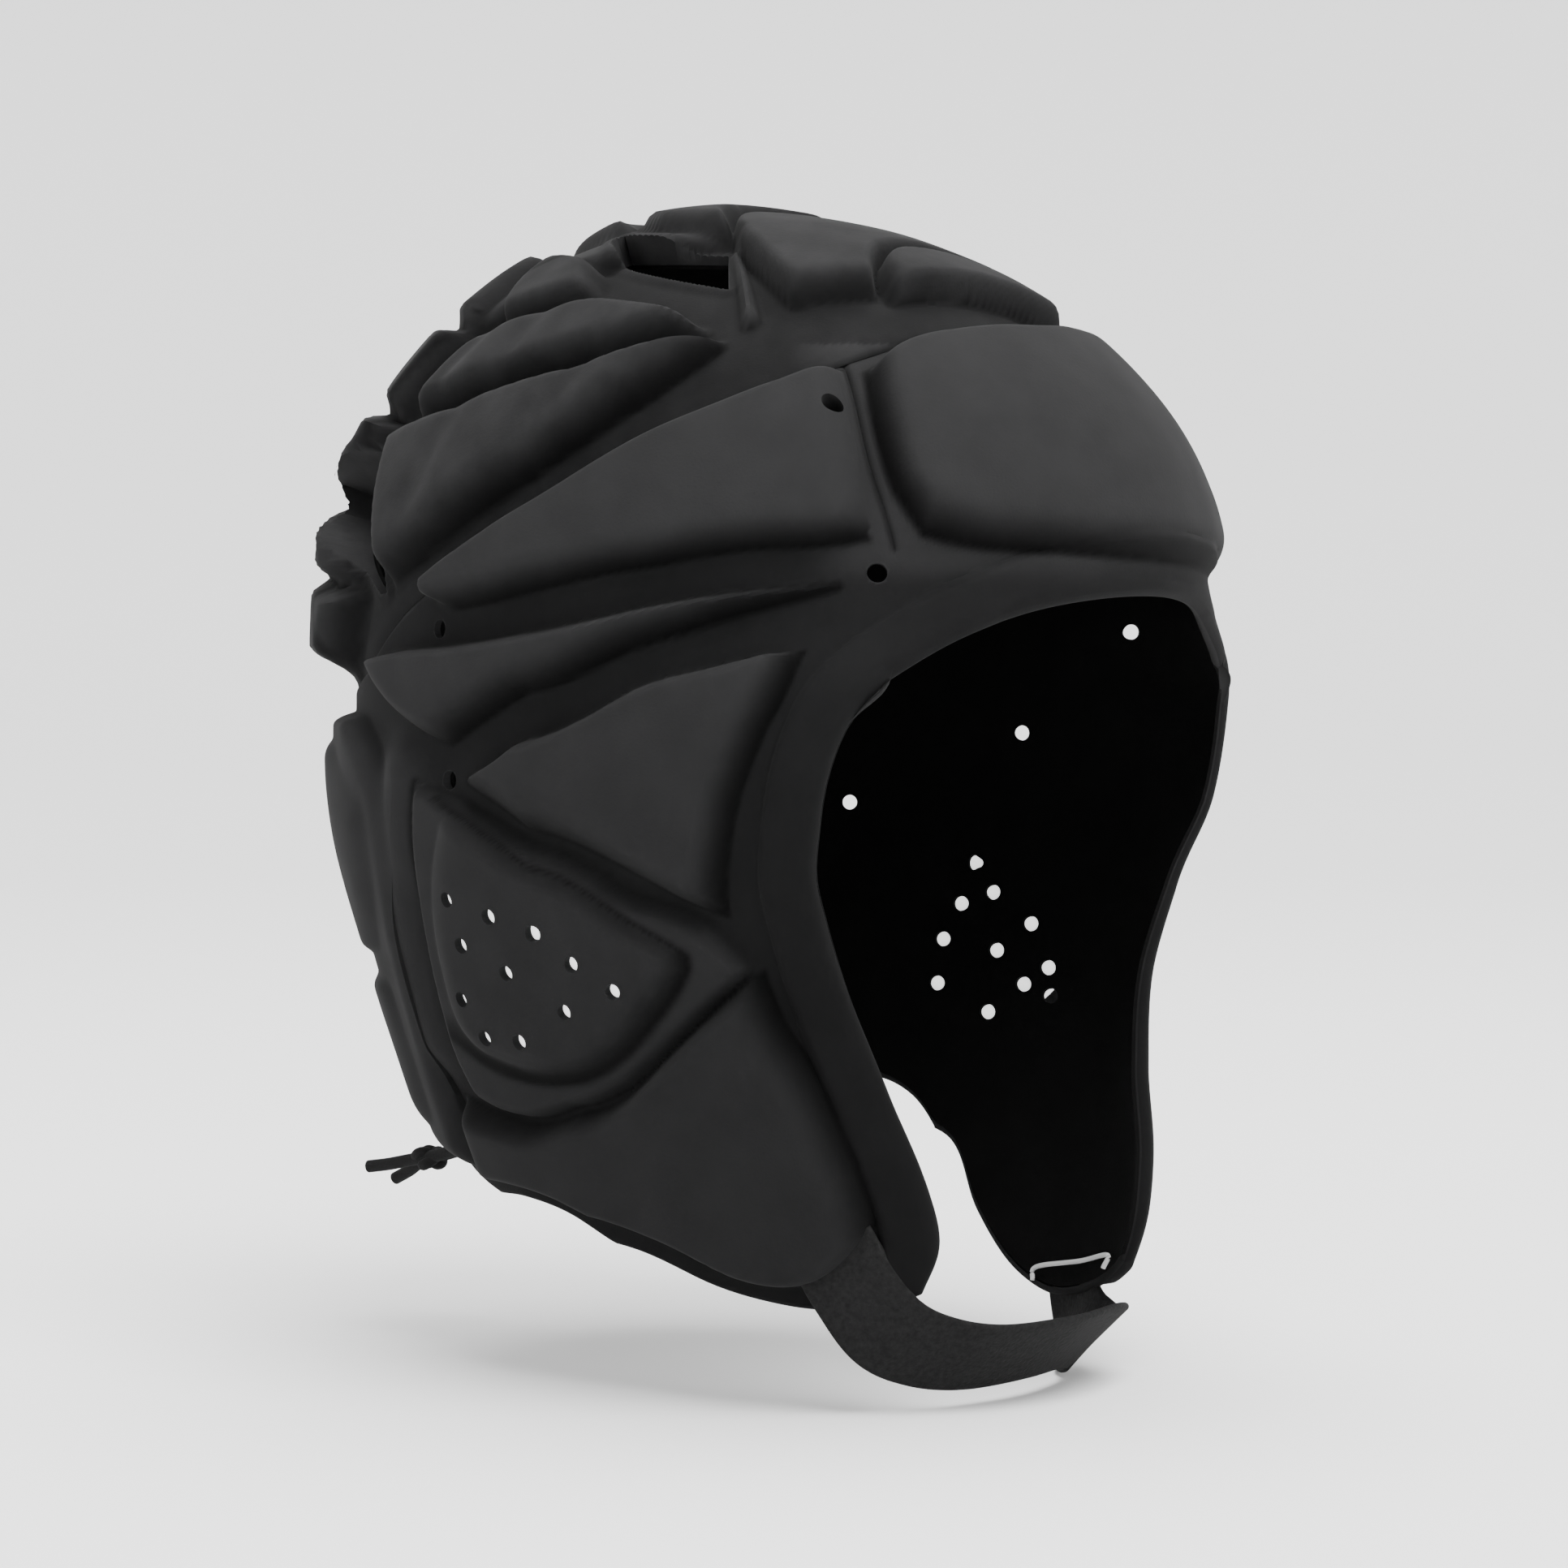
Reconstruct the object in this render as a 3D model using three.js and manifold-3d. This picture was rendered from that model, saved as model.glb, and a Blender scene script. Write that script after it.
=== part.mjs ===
// Padded headgear for contact sport: moulded side, forehead and nape panels with foam pads,
// a padded crown with open slots, perforated ear pads, a chin strap and a nape drawcord.
// Millimetres, +Z up. The wearer faces -Y and the wearer's right is -X.
// The origin is where the inside of the crown sits on the top of the head.

import * as THREE from 'three';
import { mergeVertices } from 'three/addons/utils/BufferGeometryUtils.js';
import Module from 'manifold-3d';

const wasm = await Module();
wasm.setup();

// Head hollow
const HALF_WIDTH = 78;
const FRONT_REACH = 98.5;
const BACK_REACH = 102;
const DOME_HEIGHT = 80;
const CROWN_BACK = 12;
const SKIRT_DROP = 150;

// Walls, pads and clearances
const SHELL_WALL = 2.5;
const PAD_THICKNESS = 6.4;
const CROWN_PAD_THICKNESS = 8;
const FRONT_BLOCK = 6.8;
const STRIP_BLOCK = 8.6;
const REAR_BLOCK = 10;
const EAR_PAD_THICKNESS = 5.2;
const PAD_ROUNDING = 4.5;
const SEAM_GAP = 0.8;
const PAD_GAP = 0.75;
const STRAP_GAP = 1;
const GRID_PITCH = 15;

// Holes and mesh
const VENT_DIAMETER = 4.2;
const EAR_HOLE_DIAMETER = 3.6;
const EAR_MESH_THICKNESS = 0.6;

// Webbing strap, stitching and drawcord
const STRAP_WIDTH = 20;
const STRAP_THICKNESS = 1.6;
const STITCH_LENGTH = 27;
const STITCH_DIAMETER = 1.1;
const CORD_DIAMETER = 3;
const KNOT_DIAMETER = 9;

// Lengths on the head form that one degree and one full share cover, for measuring outlines
const MM_PER_DEGREE = (HALF_WIDTH + FRONT_REACH) / 2 * Math.PI / 180;
const MM_PER_SHARE = (DOME_HEIGHT * 1.6 + SKIRT_DROP) / 2;

// Sections of the hollow: share down, then shares of the half width and the two reaches, and the
// power of the front and the back quarter outline, 2 for an ellipse and more for a squarer one
const SECTIONS = [
  { down: 0.80, width: 1.00, front: 1.00, back: 1.00, frontPower: 2.0, backPower: 2.0 },
  { down: 1.00, width: 1.00, front: 1.00, back: 1.00, frontPower: 2.1, backPower: 2.0 },
  { down: 1.13, width: 1.00, front: 1.00, back: 0.98, frontPower: 3.0, backPower: 2.1 },
  { down: 1.27, width: 0.99, front: 0.97, back: 0.96, frontPower: 3.2, backPower: 2.2 },
  { down: 1.40, width: 0.94, front: 0.88, back: 0.92, frontPower: 2.8, backPower: 2.2 },
  { down: 1.53, width: 0.88, front: 0.81, back: 0.86, frontPower: 2.6, backPower: 2.2 },
  { down: 1.67, width: 0.81, front: 0.80, back: 0.79, frontPower: 2.7, backPower: 2.2 },
  { down: 1.80, width: 0.73, front: 0.83, back: 0.72, frontPower: 2.9, backPower: 2.2 },
  { down: 1.93, width: 0.65, front: 0.83, back: 0.64, frontPower: 2.9, backPower: 2.2 },
  { down: 2.07, width: 0.56, front: 0.77, back: 0.55, frontPower: 2.9, backPower: 2.2 },
];

// Seam round the crown, from the middle of the forehead to the middle of the back
const CROWN_SEAM = [
  { around: 0, down: 0.475 },
  { around: 15, down: 0.475 },
  { around: 28, down: 0.497 },
  { around: 43, down: 0.545 },
  { around: 49, down: 0.572 },
  { around: 62, down: 0.635 },
  { around: 74, down: 0.695 },
  { around: 85, down: 0.772 },
  { around: 95, down: 0.84 },
  { around: 105, down: 0.92 },
  { around: 117, down: 1.00 },
  { around: 130, down: 1.085 },
  { around: 141, down: 1.112 },
  { around: 158, down: 1.13 },
  { around: 180, down: 1.14 },
];

// Groove between the forehead and the side panel, downward
const TEMPLE_SEAM = [
  { around: 43, down: 0.545 },
  { around: 43, down: 0.72 },
  { around: 40.5, down: 0.88 },
  { around: 40.5, down: 0.98 },
  { around: 42, down: 1.08 },
];

// Edge of the face opening, from the temple down to the front corner of the flap
const FACE_EDGE = [
  { around: 42, down: 1.08 },
  { around: 49.5, down: 1.14 },
  { around: 53.5, down: 1.23 },
  { around: 53, down: 1.33 },
  { around: 49, down: 1.41 },
  { around: 43.5, down: 1.51 },
  { around: 37.8, down: 1.63 },
  { around: 33.2, down: 1.77 },
  { around: 31.8, down: 1.87 },
];

// Brow edge of the face opening, from the temple to the middle
const BROW_EDGE = [
  { around: 42, down: 1.08 },
  { around: 30, down: 1.02 },
  { around: 18, down: 0.978 },
  { around: 0, down: 0.96 },
];

// Bottom edge of each side, from the front corner of the flap back to the nape seam
const BOTTOM_EDGES = {
  right: [
    { around: 37, down: 1.945 },
    { around: 57, down: 1.972 },
    { around: 70, down: 1.967 },
    { around: 80, down: 1.948 },
    { around: 89, down: 1.908 },
    { around: 99, down: 1.865 },
    { around: 110, down: 1.85 },
    { around: 120, down: 1.852 },
  ],
  left: [
    { around: 36, down: 1.95 },
    { around: 45.5, down: 1.988 },
    { around: 55, down: 2.012 },
    { around: 66, down: 2.02 },
    { around: 77, down: 1.985 },
    { around: 84.5, down: 1.915 },
    { around: 89.5, down: 1.81 },
    { around: 96, down: 1.752 },
    { around: 106, down: 1.73 },
    { around: 120, down: 1.78 },
  ],
};

// Groove between the side and the nape panel, downward to the bottom edge
const NAPE_SEAM = [
  { around: 130, down: 1.085 },
  { around: 119, down: 1.16 },
  { around: 113, down: 1.24 },
  { around: 115, down: 1.32 },
  { around: 120, down: 1.46 },
  { around: 121, down: 1.61 },
];

// Bottom of the nape between its two seams
const NAPE_BOTTOM = [
  { around: 145, down: 1.81 },
  { around: 180, down: 1.79 },
  { around: 215, down: 1.785 },
];

// Pads of a side: four corners round from the upper rear one, and the outward swell of the
// top, front, bottom and rear side as a share of its length
const SIDE_PADS = {
  both: [
    { name: 'temple_pad', corners: [[103, 0.955], [48, 0.605], [45.5, 0.86], [101, 0.985]], swell: [0.06, 0, 0.03, 0] },
  ],
  right: [
    { name: 'wing_pad', corners: [[120, 1.072], [50, 0.947], [50.5, 0.975], [103, 1.20]], swell: [0, 0, -0.04, 0.05] },
    { name: 'cheek_pad', corners: [[98, 1.215], [54, 1.055], [65, 1.40], [96, 1.25]], swell: [0.02, -0.06, 0, 0] },
    { name: 'jaw_pad', corners: [[116, 1.69], [57, 1.49], [46, 1.82], [116, 1.81]], swell: [-0.2, 0, 0.07, 0] },
  ],
  left: [
    { name: 'wing_pad', corners: [[120, 1.072], [50, 0.94], [50.5, 0.962], [103, 1.17]], swell: [0, 0, -0.06, 0.05] },
    { name: 'cheek_pad', corners: [[98, 1.265], [54, 1.10], [65, 1.41], [96, 1.285]], swell: [0, -0.06, 0, 0] },
    { name: 'jaw_pad', corners: [[116, 1.64], [57, 1.49], [46, 1.84], [112, 1.69]], swell: [-0.2, 0, 0.03, 0] },
  ],
};
const EAR_PADS = {
  right: { corners: [[105, 1.27], [70, 1.425], [80, 1.60], [107, 1.625]], swell: [0, 0.12, 0.14, 0.16] },
  left: { corners: [[105, 1.27], [67, 1.43], [76, 1.61], [107, 1.635]], swell: [0, 0.12, 0.12, 0.16] },
};
const FOREHEAD_PAD = { corners: [[40, 0.57], [-40, 0.57], [-37, 0.895], [37, 0.895]], swell: [0.065, 0.03, -0.03, 0.03] };
const NAPE_PADS = [
  { name: 'nape_pad_upper', corners: [[230, 1.16], [130, 1.16], [125, 1.49], [235, 1.49]], swell: [0.01, 0.12, 0, 0.12] },
  { name: 'nape_pad_lower', corners: [[235, 1.508], [125, 1.508], [125, 1.775], [235, 1.725]], swell: [0, 0, -0.02, 0] },
];

// Pads beside the crown strip, laid out like the side pads
const CROWN_PADS = [
  { name: 'crown_pad_low', corners: [[127, 0.70], [63, 0.495], [64, 0.52], [118, 0.955]], swell: [0, 0, 0.02, 0] },
  { name: 'crown_pad_mid', corners: [[118, 0.51], [90, 0.425], [66, 0.475], [126, 0.675]], swell: [0.03, 0.03, 0, 0.03] },
  { name: 'crown_pad_top', corners: [[128, 0.29], [101, 0.31], [93, 0.40], [116, 0.48]], swell: [0.05, 0, 0, 0.05] },
];

// Blocks of the crown strip, front to back. Each edge across the strip has its end at the side
// and the share down from the crown at which it crosses the middle, negative in front. The left
// end mirrors the right one unless it is given
const STRIP_BLOCKS = [
  {
    front: { around: 26, down: 0.395, middle: -0.388, left: { around: -30, down: 0.49 } },
    back: { around: 24, down: 0.38, middle: -0.29, left: { around: -32, down: 0.43 } },
    thickness: FRONT_BLOCK,
  },
  { front: { around: 28, down: 0.38, middle: -0.268 }, back: { around: 48, down: 0.42, middle: -0.04 }, thickness: FRONT_BLOCK },
  { front: { around: 57, down: 0.185, middle: -0.012 }, back: { around: 96, down: 0.165, middle: 0.14 }, thickness: STRIP_BLOCK },
  { front: { around: 103, down: 0.163, middle: 0.16 }, back: { around: 134, down: 0.168, middle: 0.318 }, thickness: STRIP_BLOCK },
  { front: { around: 138, down: 0.295, middle: 0.336 }, back: { around: 128, down: 0.48, middle: 0.485 }, thickness: STRIP_BLOCK },
  { front: { around: 128, down: 0.5, middle: 0.505 }, back: { around: 133, down: 0.66, middle: 0.655 }, thickness: STRIP_BLOCK },
  { front: { around: 133, down: 0.68, middle: 0.675 }, back: { around: 144, down: 0.82, middle: 0.805 }, thickness: REAR_BLOCK },
  { front: { around: 137, down: 0.865, middle: 0.825 }, back: { around: 128, down: 0.96, middle: 0.945 }, thickness: REAR_BLOCK },
  { front: { around: 128, down: 0.975, middle: 0.96 }, back: { around: 133, down: 1.075, middle: 1.1 }, thickness: REAR_BLOCK },
];

// Open slots of the crown, laid out like the pads, and the rib at the front of the upper one
const CROWN_SLOTS = [
  { corners: [[134, 0.172], [62, 0.205], [62.5, 0.352], [130, 0.188]], swell: [0, 0, 0, 0] },
  { corners: [[141, 0.825], [129, 0.775], [121, 0.96], [122, 0.965]], swell: [0, 0, 0, 0] },
];
const CROWN_RIB = { corners: [[60.5, 0.215], [57, 0.215], [56.5, 0.45], [60, 0.47]], swell: [0, 0, 0, 0] };

// Through vents of each side, and the holes of its ear
const VENTS = {
  right: [
    { around: 46.5, down: 0.628 },
    { around: 43, down: 0.92 },
    { around: 107, down: 1.016 },
    { around: 103.5, down: 1.232 },
  ],
  left: [
    { around: 46.5, down: 0.628 },
    { around: 65, down: 1.03 },
    { around: 88.5, down: 1.192 },
    { around: 110.5, down: 1.31 },
  ],
};
const EAR_HOLES = {
  right: [
    { around: 102.5, down: 1.39 },
    { around: 95.5, down: 1.41 },
    { around: 90, down: 1.43 },
    { around: 101.5, down: 1.455 },
    { around: 94.5, down: 1.49 },
    { around: 86.5, down: 1.47 },
    { around: 81, down: 1.505 },
    { around: 104, down: 1.535 },
    { around: 88, down: 1.54 },
    { around: 101, down: 1.59 },
    { around: 94.5, down: 1.59 },
  ],
  left: [
    { around: 90.5, down: 1.396 },
    { around: 88.5, down: 1.44 },
    { around: 91.5, down: 1.46 },
    { around: 82, down: 1.484 },
    { around: 93.5, down: 1.516 },
    { around: 86.5, down: 1.528 },
    { around: 76.5, down: 1.548 },
    { around: 93.5, down: 1.584 },
    { around: 81, down: 1.576 },
    { around: 75, down: 1.59 },
    { around: 86.5, down: 1.622 },
  ],
};

// Middle line of the strap from the right flap round the chin to the left flap: height of the
// line outside the hollow, and how far its face leans down, 0 for level with the form
const STRAP_BASE = SHELL_WALL + STRAP_GAP + STRAP_THICKNESS / 2;
const STRAP_LINE = [
  { around: 55.5, down: 1.868, off: STRAP_BASE, lean: 0 },
  { around: 51.5, down: 1.93, off: STRAP_BASE, lean: 0 },
  { around: 45, down: 1.99, off: STRAP_BASE, lean: 0.15 },
  { around: 35, down: 2.03, off: SHELL_WALL / 2, lean: 0.5 },
  { around: 18, down: 2.048, off: 0, lean: 0.8 },
  { around: 0, down: 2.048, off: 0, lean: 0.9 },
  { around: -18, down: 2.052, off: -SHELL_WALL / 2, lean: 0.9 },
  { around: -34, down: 2.058, off: 0, lean: 1.1 },
  { around: -45, down: 2.07, off: 0.5 * STRAP_BASE, lean: 1.2 },
  { around: -53, down: 2.066, off: 0.8 * STRAP_BASE, lean: 0.6 },
  { around: -59.5, down: 2.035, off: STRAP_BASE, lean: 0.1 },
  { around: -62.5, down: 1.985, off: STRAP_BASE, lean: 0 },
  { around: -64.5, down: 1.93, off: STRAP_BASE, lean: 0 },
];

// Middle of the stitching on the inside of each flap
const STITCH_PLACES = { right: { around: 54, down: 1.90 }, left: { around: 55, down: 1.97 } };

// Drawcord, from the middle of the nape outward: two strands side by side, then the knot
const CORD_STRANDS = [
  { name: 'drawcord_right', points: [[-1.7, 75.4, -201.6], [-1.9, 84, -203.4], [-1.9, 94, -206.6], [-1.7, 103.1, -209.4]] },
  { name: 'drawcord_left', points: [[1.7, 75.4, -201.2], [1.9, 84, -203.2], [1.9, 94, -206.6], [1.7, 103.1, -209.4]] },
];
const CORD_ENDS = [
  { name: 'drawcord_end_right', points: [[-1.9, 111.8, -211.2], [-3.2, 118, -212.6], [-4, 124, -213.6]] },
  { name: 'drawcord_end_left', points: [[1.9, 111.6, -211.8], [2.8, 117, -214.6], [3, 122, -217]] },
];
const KNOT_CENTRE = [0, 107.6, -210.6];

// Materials
const fabric = () => new THREE.MeshStandardMaterial({ color: 0x2b2b2b, roughness: 0.85, metalness: 0 });
const crownFabric = () => new THREE.MeshStandardMaterial({ color: 0x303030, roughness: 0.85, metalness: 0 });
const earFabric = () => new THREE.MeshStandardMaterial({ color: 0x262626, roughness: 0.8, metalness: 0 });
const webbing = () => new THREE.MeshStandardMaterial({ color: 0x242424, roughness: 0.9, metalness: 0 });
const cordFabric = () => new THREE.MeshStandardMaterial({ color: 0x1c1c1c, roughness: 0.9, metalness: 0 });
const paleMesh = () => new THREE.MeshStandardMaterial({ color: 0xe8e8e8, roughness: 0.9, metalness: 0 });
const paleThread = () => new THREE.MeshStandardMaterial({ color: 0xb8b8b8, roughness: 0.7, metalness: 0 });

// Smooth reading of one column of a table at a value of another column
function readTable(rows, key, column, value) {
  const last = rows.length - 1;
  const at = Math.min(Math.max(value, rows[0][key]), rows[last][key]);
  let i = rows.findIndex((row, k) => k === last - 1 || at <= rows[k + 1][key]);
  i = Math.max(i, 0);
  const slope = (k) => {
    const a = rows[Math.max(k - 1, 0)];
    const b = rows[Math.min(k + 1, last)];
    return (b[column] - a[column]) / (b[key] - a[key]);
  };
  const step = rows[i + 1][key] - rows[i][key];
  const t = (at - rows[i][key]) / step;
  const rise = rows[i + 1][column] - rows[i][column];
  const bend = t * (1 - t) * ((1 - t) * (slope(i) * step - rise) - t * (slope(i + 1) * step - rise));
  return rows[i][column] + rise * t + bend;
}

// Point of the head hollow at an angle round from the front and a share down from the crown
function hollowPoint(around, down) {
  const angle = THREE.MathUtils.degToRad(around);
  const skirt = Math.max(down, 1);
  const tilt = Math.min(down, 1) * Math.PI / 2;
  const facing = Math.cos(angle) > 0;
  const reach = facing ? FRONT_REACH : BACK_REACH;
  const share = readTable(SECTIONS, 'down', facing ? 'front' : 'back', skirt);
  const width = readTable(SECTIONS, 'down', 'width', skirt);
  const bend = 2 / readTable(SECTIONS, 'down', facing ? 'frontPower' : 'backPower', down);
  const round = (value) => Math.sign(value) * Math.abs(value) ** bend * Math.sin(tilt);
  return new THREE.Vector3(
    -HALF_WIDTH * width * round(Math.sin(angle)),
    -reach * share * round(Math.cos(angle)) + CROWN_BACK * Math.cos(tilt) ** 4,
    DOME_HEIGHT * (Math.cos(tilt) - 1) - SKIRT_DROP * (skirt - 1),
  );
}

// Outward direction of the head form at that place
function outward(around, down) {
  if (down < 0.01) return new THREE.Vector3(0, 0, 1);
  const across = hollowPoint(around + 0.5, down).sub(hollowPoint(around - 0.5, down));
  const along = hollowPoint(around, down + 0.005).sub(hollowPoint(around, down - 0.005));
  return across.cross(along).normalize();
}

// Point at a distance outside the hollow
function formPoint(place, off) {
  return hollowPoint(place.around, place.down).addScaledVector(outward(place.around, place.down), off);
}

// Place of the head form that lies straight out from its middle through a point
function placeOf(point) {
  const skirt = point.z >= -DOME_HEIGHT ? 1 : 1 - (point.z + DOME_HEIGHT) / SKIRT_DROP;
  let place = { around: 0, down: skirt };
  for (let pass = 0; pass < 6; pass += 1) {
    const back = point.y - CROWN_BACK * Math.cos(Math.min(place.down, 1) * Math.PI / 2) ** 4;
    const facing = back < 0;
    const read = (column) => readTable(SECTIONS, 'down', column, place.down);
    const power = read(facing ? 'frontPower' : 'backPower');
    const reach = (facing ? FRONT_REACH : BACK_REACH) * read(facing ? 'front' : 'back');
    const x = Math.sign(point.x) * Math.abs(point.x / (HALF_WIDTH * read('width'))) ** (power / 2);
    const y = Math.sign(back) * Math.abs(back / reach) ** (power / 2);
    const ring = Math.hypot(x, y) ** (2 / power);
    const dome = Math.atan2(ring, (point.z + DOME_HEIGHT) / DOME_HEIGHT) / (Math.PI / 2);
    place = { around: THREE.MathUtils.radToDeg(Math.atan2(-x, -y)), down: skirt > 1 ? skirt : dome };
  }
  return place;
}

// Outline curves run in a flat picture of the head form, in millimetres
const toFlat = ({ around, down }) => new THREE.Vector3(around * MM_PER_DEGREE, down * MM_PER_SHARE, 0);
const fromFlat = (flat) => ({ around: flat.x / MM_PER_DEGREE, down: flat.y / MM_PER_SHARE });

function outlineCurve(rows) {
  return new THREE.CatmullRomCurve3(rows.map(toFlat), false, 'centripetal');
}

// Side between two corners that swells outward by a share of its length
function swollenSide(start, end, swell) {
  const middle = start.clone().lerp(end, 0.5);
  const left = new THREE.Vector3(start.y - end.y, end.x - start.x, 0);
  return new THREE.QuadraticBezierCurve3(start, middle.addScaledVector(left, 2 * swell), end);
}

// Field over four sides: top and bottom run with u, the start and end side run with v
function fieldBetween(top, bottom, start, end) {
  const corner = [top.getPointAt(0), top.getPointAt(1), bottom.getPointAt(0), bottom.getPointAt(1)];
  return (u, v) => {
    const flat = new THREE.Vector3()
      .addScaledVector(top.getPointAt(u), 1 - v)
      .addScaledVector(bottom.getPointAt(u), v)
      .addScaledVector(start.getPointAt(v), 1 - u)
      .addScaledVector(end.getPointAt(v), u)
      .addScaledVector(corner[0], -(1 - u) * (1 - v))
      .addScaledVector(corner[1], -u * (1 - v))
      .addScaledVector(corner[2], -(1 - u) * v)
      .addScaledVector(corner[3], -u * v);
    return fromFlat(flat);
  };
}

// Field of a pad from its row: u runs from rear to front, v from top to bottom
function padField({ corners, swell }) {
  const [a, b, c, d] = corners.map(([around, down]) => toFlat({ around, down }));
  return fieldBetween(
    swollenSide(a, b, swell[0]),
    swollenSide(d, c, -swell[2]),
    swollenSide(a, d, -swell[3]),
    swollenSide(b, c, swell[1]),
  );
}

const mirrorField = (field) => (u, v) => {
  const { around, down } = field(u, v);
  return { around: -around, down };
};

// Field with a margin taken off (or added to) its sides, in millimetres
function insetField(field, margin) {
  const width = fieldLength(field, 0, 1, 0.5, 0.5);
  const height = fieldLength(field, 0.5, 0.5, 0, 1);
  const shift = (t, size) => 0.5 + (t - 0.5) * (1 - 2 * margin / size);
  return (u, v) => field(shift(u, width), shift(v, height));
}

function fieldLength(field, u0, u1, v0, v1) {
  let length = 0;
  const steps = 8;
  for (let i = 0; i < steps; i += 1) {
    const a = i / steps;
    const b = (i + 1) / steps;
    const mix = THREE.MathUtils.lerp;
    const start = formPoint(field(mix(u0, u1, a), mix(v0, v1, a)), 0);
    length += start.distanceTo(formPoint(field(mix(u0, u1, b), mix(v0, v1, b)), 0));
  }
  return length;
}

// Stations along a side: a rounding at each end, and even steps between
function stations(length, rounding, pitch = GRID_PITCH) {
  const edge = rounding / length;
  if (edge > 0.3) return [0, 0.3, 0.7, 1];
  const count = Math.max(1, Math.ceil((length - 2 * rounding) / pitch));
  const inner = Array.from({ length: count + 1 }, (_, i) => edge + (1 - 2 * edge) * i / count);
  return rounding > 0 ? [0, ...inner, 1] : inner;
}

// Mesh geometry from points and triangles, faces out
function closedGeometry(points, faces) {
  let volume = 0;
  for (const [i, j, k] of faces) volume += points[i].dot(points[j].clone().cross(points[k]));
  const turned = volume < 0 ? faces.map(([i, j, k]) => [i, k, j]) : faces;
  const geometry = new THREE.BufferGeometry();
  geometry.setAttribute('position', new THREE.Float32BufferAttribute(points.flatMap((p) => [p.x, p.y, p.z]), 3));
  geometry.setIndex(turned.flat());
  geometry.computeVertexNormals();
  return geometry;
}

// Closed wall over a grid: a top and a bottom point for every pair of stations
function slab(us, vs, topPoint, bottomPoint) {
  const points = [];
  for (const makePoint of [topPoint, bottomPoint]) {
    for (const u of us) for (const v of vs) points.push(makePoint(u, v));
  }
  const rows = us.length;
  const columns = vs.length;
  const layer = rows * columns;
  const faces = [];
  const quad = (a, b, c, d) => faces.push([a, b, c], [a, c, d]);
  for (let i = 0; i < rows - 1; i += 1) {
    for (let j = 0; j < columns - 1; j += 1) {
      const k = i * columns + j;
      quad(k, k + 1, k + columns + 1, k + columns);
      quad(layer + k, layer + k + columns, layer + k + columns + 1, layer + k + 1);
    }
  }
  for (let i = 0; i < rows - 1; i += 1) {
    const near = i * columns;
    const far = near + columns - 1;
    quad(near, near + columns, layer + near + columns, layer + near);
    quad(far + columns, far, layer + far, layer + far + columns);
  }
  for (let j = 0; j < columns - 1; j += 1) {
    const far = (rows - 1) * columns + j;
    quad(j + 1, j, layer + j, layer + j + 1);
    quad(far, far + 1, layer + far + 1, layer + far);
  }
  return closedGeometry(points, faces);
}

// Panel of even thickness over a field
function panelGeometry(field, low, high) {
  const us = stations(Math.max(fieldLength(field, 0, 1, 0, 0), fieldLength(field, 0, 1, 1, 1)), 0);
  const vs = stations(Math.max(fieldLength(field, 0, 0, 0, 1), fieldLength(field, 1, 1, 0, 1)), 0);
  return slab(us, vs, (u, v) => formPoint(field(u, v), high), (u, v) => formPoint(field(u, v), low));
}

// Pad over a field, with rounded shoulders all round
function padGeometry(field, low, thickness, rounding = PAD_ROUNDING) {
  const us = stations(fieldLength(field, 0, 1, 0.5, 0.5), rounding);
  const vs = stations(fieldLength(field, 0.5, 0.5, 0, 1), rounding);
  const shoulder = (t, list) => (t === 0 || t === 1 ? 0.35 : (t === list[1] || t === list.at(-2) ? 0.92 : 1));
  const rise = (u, v) => thickness * shoulder(u, us) * shoulder(v, vs);
  return slab(
    us,
    vs,
    (u, v) => formPoint(field(u, v), low + rise(u, v)),
    (u, v) => formPoint(field(u, v), low),
  );
}

// Booleans
function toSolid(geometry) {
  const plain = geometry.clone();
  plain.deleteAttribute('normal');
  plain.deleteAttribute('uv');
  const merged = mergeVertices(plain, 1e-4);
  return new wasm.Manifold(new wasm.Mesh({
    numProp: 3,
    vertProperties: new Float32Array(merged.attributes.position.array),
    triVerts: new Uint32Array(merged.index.array),
  }));
}

function fromSolid(solid) {
  const { vertProperties, triVerts } = solid.getMesh();
  const geometry = new THREE.BufferGeometry();
  geometry.setAttribute('position', new THREE.Float32BufferAttribute(vertProperties, 3));
  geometry.setIndex(Array.from(triVerts));
  geometry.computeVertexNormals();
  return geometry;
}

function cut(geometry, cutters) {
  let solid = toSolid(geometry);
  for (const cutter of cutters) solid = solid.subtract(toSolid(cutter));
  return fromSolid(solid);
}

// Round cutter through the wall at a place
function holeCutter({ around, down }, diameter, sides) {
  const reach = SHELL_WALL + PAD_THICKNESS + EAR_PAD_THICKNESS;
  const cylinder = new THREE.CylinderGeometry(diameter / 2, diameter / 2, 2 * reach, sides);
  const turn = new THREE.Quaternion().setFromUnitVectors(new THREE.Vector3(0, 1, 0), outward(around, down));
  return cylinder.applyQuaternion(turn).translate(...formPoint({ around, down }, 0).toArray());
}

// Cutter through the shell wall over a field
function slotCutter(field) {
  return panelGeometry(field, -SHELL_WALL, 3 * SHELL_WALL);
}

// Tube along hand-chosen points
function tubeGeometry(points, diameter, sides = 8) {
  const path = new THREE.CatmullRomCurve3(points.map((p) => new THREE.Vector3(...p)));
  const ring = Array.from({ length: sides }, (_, i) => {
    const angle = 2 * Math.PI * i / sides;
    return new THREE.Vector2(Math.cos(angle) * diameter / 2, Math.sin(angle) * diameter / 2);
  });
  const steps = Math.max(4, Math.round(path.getLength() / (2.5 * diameter)));
  return new THREE.ExtrudeGeometry(new THREE.Shape(ring), { steps, extrudePath: path, bevelEnabled: false });
}

// Sub-assemblies
const object = new THREE.Group();

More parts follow.
